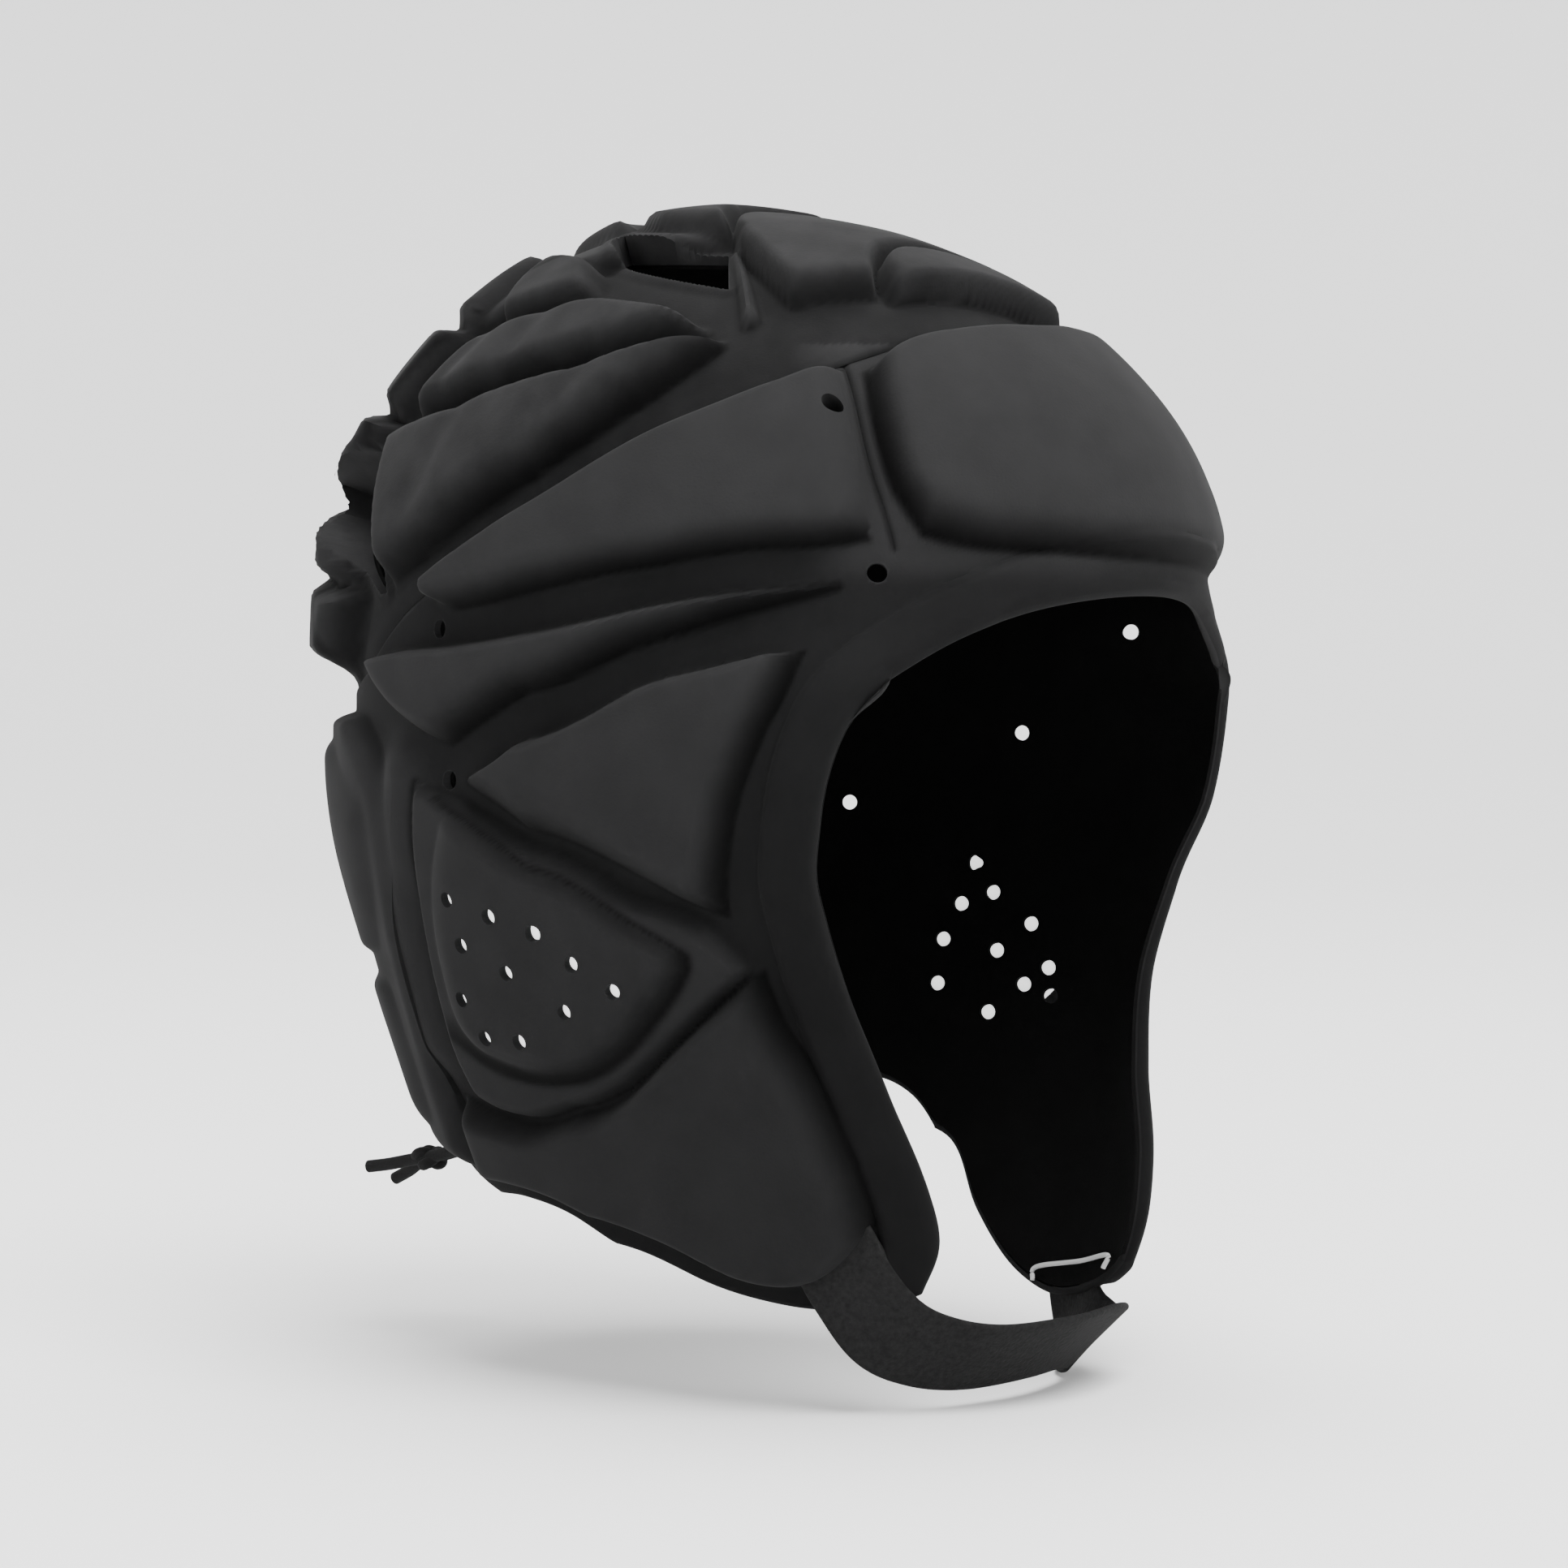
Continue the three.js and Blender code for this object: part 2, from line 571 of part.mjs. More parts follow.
function addPiece(name, geometry, material) {
  const mesh = new THREE.Mesh(geometry, material);
  mesh.name = name;
  object.add(mesh);
}

const SIDES = [
  { side: 'right', turn: (field) => field, sign: 1 },
  { side: 'left', turn: mirrorField, sign: -1 },
];
const onSide = (place, sign) => ({ ...place, around: sign * place.around });
const PAD_BASE = SHELL_WALL + PAD_GAP;
const EAR_PAD_BASE = PAD_BASE + EAR_MESH_THICKNESS + PAD_GAP;

// Crown lining: rings from the top out to the seam, open at the slots
function crownLining() {
  const spokes = 32;
  const rings = 7;
  const seam = outlineCurve(CROWN_SEAM);
  const edge = Array.from({ length: spokes }, (_, i) => {
    const along = i <= spokes / 2 ? i : spokes - i;
    const { around, down } = fromFlat(seam.getPointAt(2 * along / spokes));
    return { around: i <= spokes / 2 ? around : -around, down: down - SEAM_GAP / MM_PER_SHARE };
  });
  const points = [];
  const faces = [];
  for (const off of [SHELL_WALL, 0]) {
    points.push(formPoint({ around: 0, down: 0 }, off));
    for (let ring = 1; ring <= rings; ring += 1) {
      for (let spoke = 0; spoke < spokes; spoke += 1) {
        const { around, down } = edge[spoke];
        points.push(formPoint({ around, down: down * ring / rings }, off));
      }
    }
  }
  const layer = 1 + rings * spokes;
  const at = (side, ring, spoke) => side * layer + (ring === 0 ? 0 : 1 + (ring - 1) * spokes + spoke % spokes);
  for (let spoke = 0; spoke < spokes; spoke += 1) {
    faces.push([at(0, 0, 0), at(0, 1, spoke), at(0, 1, spoke + 1)]);
    faces.push([at(1, 0, 0), at(1, 1, spoke + 1), at(1, 1, spoke)]);
    for (let ring = 1; ring < rings; ring += 1) {
      faces.push([at(0, ring, spoke), at(0, ring + 1, spoke), at(0, ring + 1, spoke + 1)]);
      faces.push([at(0, ring, spoke), at(0, ring + 1, spoke + 1), at(0, ring, spoke + 1)]);
      faces.push([at(1, ring, spoke), at(1, ring + 1, spoke + 1), at(1, ring + 1, spoke)]);
      faces.push([at(1, ring, spoke), at(1, ring, spoke + 1), at(1, ring + 1, spoke + 1)]);
    }
    faces.push([at(0, rings, spoke), at(1, rings, spoke), at(1, rings, spoke + 1)]);
    faces.push([at(0, rings, spoke), at(1, rings, spoke + 1), at(0, rings, spoke + 1)]);
  }
  const slots = SIDES.flatMap(({ turn }) => CROWN_SLOTS.map((slot) => slotCutter(turn(padField(slot)))));
  return cut(closedGeometry(points, faces), slots);
}

// Point of one edge across the crown strip, t from the right end to the left end
function edgePoint({ around, down, middle, left: end = { around: -around, down } }, t) {
  const right = hollowPoint(around, down);
  const left = hollowPoint(end.around, end.down);
  const centre = hollowPoint(middle < 0 ? 0 : 180, Math.abs(middle));
  const rise = centre.sub(right.clone().lerp(left, 0.5));
  return right.lerp(left, t).addScaledVector(rise, 4 * t * (1 - t));
}

function blockGeometry({ front, back, thickness }) {
  const place = (u, v) => placeOf(edgePoint(front, u).lerp(edgePoint(back, u), v));
  return padGeometry(place, PAD_BASE, thickness);
}

function buildCrown() {
  addPiece('crown_lining', crownLining(), crownFabric());
  STRIP_BLOCKS.forEach((row, i) => addPiece(`crown_block_${i + 1}`, blockGeometry(row), crownFabric()));
  for (const { side, turn } of SIDES) {
    for (const pad of CROWN_PADS) {
      addPiece(`${pad.name}_${side}`, padGeometry(turn(padField(pad)), PAD_BASE, CROWN_PAD_THICKNESS), crownFabric());
    }
    addPiece(`crown_rib_${side}`, padGeometry(turn(padField(CROWN_RIB)), PAD_BASE, PAD_THICKNESS / 2, 1), crownFabric());
  }
}

// Moulded panels
function buildForehead() {
  const gap = (row) => ({ around: row.around - SEAM_GAP / MM_PER_DEGREE, down: row.down });
  const brow = BROW_EDGE.map(gap);
  const top = CROWN_SEAM.filter(({ around }) => around <= TEMPLE_SEAM[0].around).map(gap).reverse();
  top[top.length - 1].around = 0;
  brow[brow.length - 1].around = 0;
  const across = (rows) => [...rows.map((row) => onSide(row, -1)), ...rows.slice(0, -1).reverse()];
  const side = TEMPLE_SEAM.map(gap);
  const field = fieldBetween(
    outlineCurve(across(top)),
    outlineCurve(across(brow)),
    outlineCurve(side.map((row) => onSide(row, -1))),
    outlineCurve(side),
  );
  addPiece('forehead_panel', panelGeometry(field, 0, SHELL_WALL), fabric());
  addPiece('forehead_pad', padGeometry(padField(FOREHEAD_PAD), PAD_BASE, PAD_THICKNESS), fabric());
}

function buildNape() {
  const shift = ({ around, down }, sign) => ({ around: around + sign * SEAM_GAP / MM_PER_DEGREE, down });
  const behind = ({ around, down }) => ({ around: 360 - around, down });
  const top = CROWN_SEAM.filter(({ around }) => around >= NAPE_SEAM[0].around);
  const right = [...NAPE_SEAM, BOTTOM_EDGES.right.at(-1)].map((row) => shift(row, 1));
  const left = [...NAPE_SEAM, BOTTOM_EDGES.left.at(-1)].map((row) => shift(behind(row), -1));
  const rear = [...top.slice(1), ...top.slice(1, -1).reverse().map(behind)];
  const field = fieldBetween(
    outlineCurve([right[0], ...rear, left[0]]),
    outlineCurve([right.at(-1), ...NAPE_BOTTOM, left.at(-1)]),
    outlineCurve(right),
    outlineCurve(left),
  );
  addPiece('nape_panel', panelGeometry(field, 0, SHELL_WALL), fabric());
  for (const pad of NAPE_PADS) {
    addPiece(pad.name, padGeometry(padField(pad), PAD_BASE, PAD_THICKNESS), fabric());
  }
}

function sideField(bottom) {
  const [rear, front] = [NAPE_SEAM[0].around, TEMPLE_SEAM[0].around];
  const top = CROWN_SEAM.filter(({ around }) => around >= front && around <= rear).reverse();
  return fieldBetween(
    outlineCurve(top),
    outlineCurve([...bottom].reverse()),
    outlineCurve([...NAPE_SEAM, bottom.at(-1)]),
    outlineCurve([...TEMPLE_SEAM, ...FACE_EDGE.slice(1), bottom[0]]),
  );
}

function buildSides() {
  for (const { side, turn, sign } of SIDES) {
    const vents = VENTS[side].map((place) => holeCutter(onSide(place, sign), VENT_DIAMETER, 8));
    const earHoles = EAR_HOLES[side].map((place) => holeCutter(onSide(place, sign), EAR_HOLE_DIAMETER, 6));
    const shell = panelGeometry(turn(sideField(BOTTOM_EDGES[side])), 0, SHELL_WALL);
    addPiece(`side_panel_${side}`, cut(shell, [...vents, ...earHoles]), fabric());
    for (const pad of [...SIDE_PADS.both, ...SIDE_PADS[side]]) {
      addPiece(`${pad.name}_${side}`, padGeometry(turn(padField(pad)), PAD_BASE, PAD_THICKNESS), fabric());
    }
    const ear = turn(padField(EAR_PADS[side]));
    const mesh = panelGeometry(insetField(ear, 2 * PAD_GAP), PAD_BASE, PAD_BASE + EAR_MESH_THICKNESS);
    addPiece(`ear_mesh_${side}`, mesh, paleMesh());
    addPiece(`ear_pad_${side}`, cut(padGeometry(ear, EAR_PAD_BASE, EAR_PAD_THICKNESS), earHoles), earFabric());
  }
}

// Chin strap from flap to flap
function buildStrap() {
  const path = new THREE.CatmullRomCurve3(STRAP_LINE.map((row) => formPoint(row, row.off)));
  const faces = new THREE.CatmullRomCurve3(STRAP_LINE.map(({ around, down, lean }) => outward(around, down).setZ(-lean)));
  const webPoint = (u, v, off) => {
    const along = path.getTangentAt(u);
    const across = along.clone().cross(faces.getPoint(path.getUtoTmapping(u))).normalize();
    const out = across.clone().cross(along);
    return path.getPointAt(u).addScaledVector(across, (v - 0.5) * STRAP_WIDTH).addScaledVector(out, off);
  };
  const us = stations(path.getLength(), 0, STRAP_WIDTH / 2);
  const high = STRAP_THICKNESS / 2;
  addPiece('chin_strap', slab(us, [0, 0.5, 1], (u, v) => webPoint(u, v, high), (u, v) => webPoint(u, v, -high)), webbing());
}

// Strap stitching: one run of thread inside each flap, with a short hook at both ends
function buildStitching() {
  for (const { side, sign } of SIDES) {
    const off = -STRAP_GAP - STITCH_DIAMETER / 2;
    const reach = STITCH_LENGTH / 2;
    const hook = 2.5 * STITCH_DIAMETER;
    const run = [[-reach, hook], [-reach, 0], [0, 0], [reach, 0], [reach, hook]].map(([along, drop]) => {
      const { around, down } = STITCH_PLACES[side];
      const place = { around: around - along / MM_PER_DEGREE * 1.5, down: down + (drop - along * 0.2) / MM_PER_SHARE };
      return formPoint(onSide(place, sign), off).toArray();
    });
    addPiece(`strap_stitch_${side}`, tubeGeometry(run, STITCH_DIAMETER, 6), paleThread());
  }
}

// Drawcord strands, knot and cut ends
function buildDrawcord() {
  for (const { name, points } of [...CORD_STRANDS, ...CORD_ENDS]) {
    addPiece(name, tubeGeometry(points, CORD_DIAMETER), cordFabric());
  }
  const knot = new THREE.SphereGeometry(KNOT_DIAMETER / 2, 12, 8).scale(1, 0.9, 0.8).translate(...KNOT_CENTRE);
  addPiece('drawcord_knot', knot, cordFabric());
}

buildCrown();
buildForehead();
buildNape();
buildSides();
buildStrap();
buildStitching();
buildDrawcord();

export default object;
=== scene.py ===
"""Padded headgear for contact sport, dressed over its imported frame.

The head form is read by an angle round from the front and a share down from the crown. Every cover is
a closed skin over that form: a grid of places, lifted by the foam pads that lie under the cloth.
Sizes are in millimetres until a mesh is made.
"""

import logging
import math
from dataclasses import dataclass, field
from enum import Enum
from typing import NamedTuple

import bpy
import numpy as np
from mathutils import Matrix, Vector


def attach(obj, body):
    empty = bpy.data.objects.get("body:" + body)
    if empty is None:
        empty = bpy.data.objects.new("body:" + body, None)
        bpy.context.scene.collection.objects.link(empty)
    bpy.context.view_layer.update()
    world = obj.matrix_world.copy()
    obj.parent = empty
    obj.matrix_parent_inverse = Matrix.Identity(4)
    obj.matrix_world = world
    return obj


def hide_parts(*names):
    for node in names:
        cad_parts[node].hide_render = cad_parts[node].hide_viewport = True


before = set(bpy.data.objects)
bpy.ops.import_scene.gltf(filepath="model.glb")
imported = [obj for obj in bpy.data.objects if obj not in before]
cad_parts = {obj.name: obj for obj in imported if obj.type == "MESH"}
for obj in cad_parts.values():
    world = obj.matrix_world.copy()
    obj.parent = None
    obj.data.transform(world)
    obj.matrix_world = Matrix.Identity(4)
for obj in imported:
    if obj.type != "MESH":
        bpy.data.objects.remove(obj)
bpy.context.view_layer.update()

log = logging.getLogger("headgear")
logging.basicConfig(level=logging.INFO, format="%(name)s: %(message)s")

MM = 0.001

# Head hollow
HALF_WIDTH = 78.0
FRONT_REACH = 98.5
BACK_REACH = 102.0
DOME_HEIGHT = 80.0
CROWN_BACK = 12.0
SKIRT_DROP = 150.0

# Walls
LINING_WALL = 0.8
COVER_BASE = 0.95
SHELL_WALL = 2.5
RIM_ROUNDING = 1.4
GRID_PITCH = 0.85
LINING_PITCH = 3.0

# Holes
VENT_DIAMETER = 4.2
EAR_HOLE_DIAMETER = 3.6
SIGHT_DIAMETER = 3.5
MESH_DEPTH = 1.9
MESH_SPREAD = 1.2

# Strap, stitching and drawcord
STRAP_WIDTH = 20.0
STRAP_THICKNESS = 1.6
STITCH_LENGTH = 27.0
STITCH_DIAMETER = 1.1
CORD_DIAMETER = 3.0
KNOT_DIAMETER = 9.0

# Painted shade: folds and grooves darker than the open cloth, painted into the cloth's colour; then the swell of the
# cloth over seams
FOLD_SHADE_REACH = 4.0
FOLD_SHADE_SHARE = 0.85
# Darker low cloth where no pad lifts it: painted shade in the channels between pads, and a darker tone on the band by
# the face edge
LOW_CLOTH_SHADE_AND_TONE = 0.62
OUTER_FOLD_SHADE = 0.85
OUTER_FOLD_SHADE_WIDTH = 1.0
SWELL_HEIGHT = 4.6
SWELL_WIDTH = 9.0

MM_PER_DEGREE = (HALF_WIDTH + FRONT_REACH) / 2 * math.pi / 180
MM_PER_SHARE = (DOME_HEIGHT * 1.6 + SKIRT_DROP) / 2

VIEW_WAY = np.array([-0.7650, -0.6419, 0.0523])

Place = tuple[float, float]
Line = tuple[Place, ...]


class Side(Enum):
    """Side of the wearer, with the sign of its angles."""

    RIGHT = 1
    LEFT = -1

    @property
    def label(self) -> str:
        """Word used in piece names."""
        return self.name.lower()


# Sections of the hollow: share down, shares of half width, front reach and back reach, and the
# powers of the front and the back quarter outline
SECTIONS = np.array([
    [0.80, 1.00, 1.00, 1.00, 2.0, 2.0],
    [1.00, 1.00, 1.00, 1.00, 2.1, 2.0],
    [1.13, 1.00, 1.00, 0.98, 3.0, 2.1],
    [1.27, 0.99, 0.97, 0.96, 3.2, 2.2],
    [1.40, 0.94, 0.88, 0.92, 2.8, 2.2],
    [1.53, 0.88, 0.81, 0.86, 2.6, 2.2],
    [1.67, 0.81, 0.80, 0.79, 2.7, 2.2],
    [1.80, 0.73, 0.83, 0.72, 2.9, 2.2],
    [1.93, 0.65, 0.83, 0.64, 2.9, 2.2],
    [2.07, 0.56, 0.77, 0.55, 2.9, 2.2],
])

# Seams and free edges, as (degrees round, share down)
CROWN_SEAM: Line = (
    (0, 0.475), (15, 0.475), (28, 0.497), (43, 0.545), (49, 0.572), (62, 0.635), (74, 0.695),
    (85, 0.772), (95, 0.84), (105, 0.92), (117, 1.00), (130, 1.085), (141, 1.112), (158, 1.13),
    (180, 1.14),
)
TEMPLE_SEAM: Line = ((43, 0.545), (43, 0.72), (40.5, 0.88), (40.5, 0.98), (42, 1.08))
FACE_EDGE: Line = (
    (42, 1.08), (49.5, 1.14), (53.5, 1.23), (53, 1.33), (49, 1.41), (43.5, 1.51), (37.8, 1.63),
    (33.2, 1.77), (31.8, 1.87),
)
BROW_EDGE: Line = ((42, 1.08), (30, 1.02), (18, 0.978), (0, 0.96))
BOTTOM_EDGE: dict[Side, Line] = {
    Side.RIGHT: (
        (37, 1.945), (57, 1.972), (70, 1.967), (80, 1.948), (89, 1.908), (99, 1.865), (110, 1.85),
        (120, 1.852)),
    Side.LEFT: (
        (36, 1.95), (45.5, 1.988), (55, 2.012), (66, 2.02), (77, 1.985), (84.5, 1.915), (89.5, 1.81),
        (96, 1.752), (106, 1.73), (120, 1.78)),
}
NAPE_SEAM: Line = ((130, 1.085), (119, 1.16), (113, 1.24), (115, 1.32), (120, 1.46), (121, 1.61))
NAPE_BOTTOM: Line = ((145, 1.81), (180, 1.79), (215, 1.785))


PAD_HEIGHT = 7.15
CROWN_PAD_HEIGHT = 8.4
BAND_HEIGHT = 1.9
BAND_WIDTH = 12.0


class PadRow(NamedTuple):
    """Foam pad under the cloth: its four sides as places, and how far the foam rounds off inside each."""

    name: str
    top: Line
    front: Line
    bottom: Line
    rear: Line
    shoulders: tuple[float, float, float, float]
    height: float = PAD_HEIGHT
    # How strongly painted shade darkens the cloth along each side of the pad
    fold_shades: tuple[float, float, float, float] = (1.0, 1.0, 1.0, 1.0)


class QuadRow(NamedTuple):
    """Pad with four corners round from the upper rear one, and the swell of its sides as shares."""

    corners: tuple[Place, Place, Place, Place]
    swell: tuple[float, float, float, float]
    shoulders: tuple[float, float, float, float]
    height: float = CROWN_PAD_HEIGHT


class BlockRow(NamedTuple):
    """Block across the crown: each edge as its right end and the share down at the middle, negative in front.

    The left end mirrors the right one unless it is given.
    """

    front: tuple[float, float, float]
    back: tuple[float, float, float]
    height: float = 9.2
    left_front: Place | None = None
    left_back: Place | None = None


class Crease(NamedTuple):
    """Soft crease in the cloth: a dent along a line of places."""

    line: Line
    depth: float
    width: float


SIDE_PADS: tuple[PadRow, ...] = (
    PadRow(
        "temple",
        top=((108, 0.935), (95, 0.846), (85, 0.778), (74, 0.70), (62, 0.64), (43.6, 0.56)),
        front=((43.6, 0.56), (43.2, 0.66), (43.2, 0.76), (44, 0.865)),
        bottom=((44, 0.865), (49.5, 0.876), (60, 0.885), (66, 0.896), (72.5, 0.912), (77.5, 0.921), (84.5, 0.94),
                (91, 0.957), (97.5, 0.975), (104, 0.985)),
        rear=((104, 0.985), (107.5, 0.965), (108, 0.935)),
        shoulders=(1.6, 9.0, 7.0, 2.5),
        fold_shades=(1.0, 0.1, 1.0, 0.6),
    ),
    PadRow(
        "wing",
        top=((124, 1.066), (114, 1.05), (100.5, 1.036), (83, 1.004), (71.5, 0.976), (61.5, 0.956), (48, 0.936)),
        front=((48, 0.936), (47.6, 0.943), (48, 0.95)),
        bottom=((48, 0.95), (54, 0.971), (60.5, 0.992), (67.5, 1.015), (75, 1.036), (80.5, 1.054), (87, 1.084),
                (97, 1.145), (103, 1.184)),
        rear=((103, 1.184), (110, 1.16), (118, 1.115), (124, 1.066)),
        shoulders=(1.7, 2.5, 9.0, 6.0),
    ),
    PadRow(
        "cheek",
        top=((100, 1.226), (97.5, 1.216), (93.5, 1.196), (86.5, 1.137), (80.5, 1.101), (75.5, 1.084), (68.5, 1.072),
             (61.5, 1.06), (54, 1.047)),
        front=((54, 1.047), (57.5, 1.088), (62.5, 1.145), (66, 1.21), (67.6, 1.26), (67.6, 1.33), (65.5, 1.405)),
        bottom=((65.5, 1.405), (73.5, 1.38), (82.5, 1.34), (89, 1.304), (94, 1.268), (100, 1.236)),
        rear=((100, 1.236), (100.4, 1.231), (100, 1.226)),
        shoulders=(1.7, 7.0, 10.0, 3.0),
    ),
    PadRow(
        "ear_ring",
        top=((109, 1.235), (100, 1.262), (90, 1.316), (82, 1.372), (70.5, 1.405), (60.5, 1.476)),
        front=((60.5, 1.476), (60.4, 1.478), (60.5, 1.48)),
        bottom=((60.5, 1.48), (78.5, 1.624), (94, 1.708), (104, 1.716), (111, 1.70)),
        rear=((111, 1.70), (114, 1.62), (113, 1.44), (109, 1.235)),
        shoulders=(3.0, 2.0, 4.0, 3.0),
        height=4.4,
        fold_shades=(0.6, 0.5, 1.0, 1.0),
    ),
    PadRow(
        "ear",
        top=((104.5, 1.256), (95, 1.305), (88.5, 1.352), (81.5, 1.40), (70.5, 1.452)),
        front=((70.5, 1.452), (70.2, 1.47), (71.5, 1.50), (74.5, 1.54)),
        bottom=((74.5, 1.54), (81, 1.60), (90.5, 1.652), (103, 1.64), (112, 1.60)),
        rear=((112, 1.60), (112.6, 1.53), (112, 1.45), (109.5, 1.36), (104.5, 1.256)),
        shoulders=(3.0, 7.0, 8.0, 14.0),
        fold_shades=(1.0, 1.0, 1.0, 0.0),
    ),
    PadRow(
        "jaw",
        top=((119, 1.70), (108, 1.722), (97, 1.728), (87, 1.69), (74.5, 1.597), (58.5, 1.478)),
        front=((58.5, 1.478), (54.5, 1.56), (50.5, 1.62), (48, 1.68), (46.5, 1.74), (45, 1.84)),
        bottom=((45, 1.84), (59, 1.925), (72, 1.93), (84, 1.882), (97, 1.835), (108, 1.822), (119, 1.824)),
        rear=((119, 1.824), (119.5, 1.75), (119, 1.70)),
        shoulders=(3.2, 9.0, 4.0, 10.0),
        fold_shades=(1.0, 1.0, 0.4, 0.0),
    ),
)
FAR_SIDE_LINES: dict[str, dict[str, Line]] = {
    "wing": {"bottom": (
        (48, 0.95), (58, 0.962), (66.5, 0.978), (76.5, 1.005), (86.5, 1.045), (94, 1.10), (103, 1.175))},
    "cheek": {
        "top": ((100, 1.27), (98.5, 1.265), (88.5, 1.235), (82.5, 1.185), (74, 1.14), (64.5, 1.11), (55, 1.09)),
        "front": ((55, 1.09), (60.5, 1.11), (65, 1.15), (68.2, 1.21), (69.5, 1.26), (69.5, 1.33), (67, 1.405)),
        "bottom": ((67, 1.405), (73.5, 1.39), (82.5, 1.36), (89, 1.33), (94, 1.305), (100, 1.278)),
        "rear": ((100, 1.278), (100.4, 1.274), (100, 1.27))},
    "jaw": {
        "top": ((119, 1.645), (108, 1.665), (97, 1.69), (87, 1.67), (74.5, 1.597), (58.5, 1.478)),
        "bottom": ((45, 1.84), (58, 1.945), (70, 1.94), (80, 1.86), (89, 1.765), (97, 1.708), (106, 1.69),
                   (119, 1.71)),
        "rear": ((119, 1.71), (119.5, 1.68), (119, 1.645))},
}
FOREHEAD_PAD = PadRow(
    "forehead",
    top=((40, 0.568), (30, 0.522), (15, 0.50), (0, 0.497), (-15, 0.50), (-30, 0.522), (-40, 0.568)),
    front=((-40, 0.568), (-41, 0.66), (-40.5, 0.80), (-38, 0.95)),
    bottom=((-38, 0.95), (-26, 0.93), (-14, 0.914), (0, 0.903), (14, 0.892), (23.5, 0.884), (30.5, 0.876), (36.5, 0.858)),
    rear=((36.5, 0.858), (40, 0.78), (41, 0.66), (40, 0.568)),
    shoulders=(3.0, 7.0, 9.0, 7.0),
)
NAPE_PADS: tuple[PadRow, ...] = (
    PadRow(
        "nape_base",
        top=((232, 1.15), (205, 1.15), (180, 1.15), (155, 1.15), (128, 1.15)),
        front=((128, 1.15), (116, 1.25), (118, 1.45), (121, 1.82)),
        bottom=((121, 1.82), (150, 1.80), (180, 1.782), (210, 1.775), (237, 1.78)),
        rear=((237, 1.78), (242, 1.45), (244, 1.25), (232, 1.15)),
        shoulders=(3.0, 7.0, 8.0, 7.0),
        height=5.2,
        fold_shades=(0.5, 0.0, 0.4, 0.0),
    ),
    PadRow(
        "nape_upper",
        top=((230, 1.165), (205, 1.17), (180, 1.172), (155, 1.17), (131, 1.165)),
        front=((131, 1.165), (118, 1.25), (118, 1.36), (124, 1.505)),
        bottom=((124, 1.505), (150, 1.505), (180, 1.505), (210, 1.505), (235, 1.505)),
        rear=((235, 1.505), (241, 1.36), (241, 1.25), (230, 1.165)),
        shoulders=(8.0, 18.0, 5.0, 18.0),
        fold_shades=(0.2, 0.0, 0.5, 0.0),
    ),
    PadRow(
        "nape_lower",
        top=((236, 1.515), (210, 1.515), (180, 1.515), (150, 1.515), (124, 1.515)),
        front=((124, 1.515), (123, 1.65), (123, 1.80)),
        bottom=((123, 1.80), (150, 1.778), (180, 1.765), (210, 1.755), (236, 1.76)),
        rear=((236, 1.76), (236.5, 1.65), (236, 1.515)),
        shoulders=(5.0, 18.0, 14.0, 18.0),
        fold_shades=(0.4, 0.0, 0.2, 0.0),
    ),
)
CROWN_PADS: tuple[QuadRow, ...] = (
    QuadRow(((127, 0.70), (63, 0.495), (64, 0.52), (118, 0.955)), (0, 0, 0.02, 0), (2.0, 3.0, 8.0, 4.0)),
    QuadRow(((118, 0.51), (90, 0.425), (66, 0.475), (126, 0.675)), (0.03, 0.03, 0, 0.03), (3.0, 3.0, 4.0, 4.0)),
    QuadRow(((128, 0.29), (101, 0.31), (93, 0.40), (116, 0.48)), (0.05, 0, 0, 0.05), (4.0, 4.0, 4.0, 4.0)),
)
CROWN_RIB = QuadRow(
    ((60.5, 0.215), (57, 0.215), (56.5, 0.45), (60, 0.47)), (0, 0, 0, 0), (1.5, 2.0, 1.5, 2.0), 3.6)
BLOCK_SHOULDERS = (2.8, 5.0, 2.8, 5.0)
BLOCK_SPREAD = 0.009
STRIP_BASES: tuple[BlockRow, ...] = (
    BlockRow((57, 0.185, -0.012), (128, 0.50, 0.50), 4.8),
    BlockRow((128, 0.46, 0.46), (142, 0.90, 0.86), 4.8),
    BlockRow((142, 0.84, 0.82), (133, 1.09, 1.11), 4.8),
)
STRIP_BLOCKS: tuple[BlockRow, ...] = (
    BlockRow((26, 0.395, -0.388), (24, 0.38, -0.29), 7.4, (-30, 0.49), (-32, 0.43)),
    BlockRow((28, 0.38, -0.268), (48, 0.42, -0.04), 7.4),
    BlockRow((57, 0.185, -0.012), (96, 0.165, 0.14)),
    BlockRow((103, 0.163, 0.16), (134, 0.168, 0.318)),
    BlockRow((138, 0.295, 0.336), (128, 0.48, 0.485)),
    BlockRow((128, 0.50, 0.505), (133, 0.66, 0.655)),
    BlockRow((133, 0.68, 0.675), (144, 0.82, 0.805), 10.6),
    BlockRow((137, 0.865, 0.825), (128, 0.96, 0.945), 10.6),
    BlockRow((128, 0.975, 0.96), (133, 1.075, 1.10), 10.6),
)
CROWN_SLOTS: tuple[QuadRow, ...] = (
    QuadRow(((134, 0.172), (62, 0.205), (62.5, 0.352), (130, 0.188)), (0, 0, 0, 0), (0, 0, 0, 0)),
    QuadRow(((153, 0.80), (133, 0.70), (121, 0.96), (123, 0.965)), (0, 0, 0, 0), (0, 0, 0, 0)),
)
CROWN_CREASES: tuple[Crease, ...] = (
    Crease(((84, 0.52), (92, 0.72)), 1.0, 4.0),
    Crease(((108, 0.66), (112, 0.84)), 1.1, 4.5),
    Crease(((100, 0.47), (104, 0.58)), 0.9, 3.5),
    Crease(((112, 0.50), (118, 0.63)), 0.8, 3.0),
)

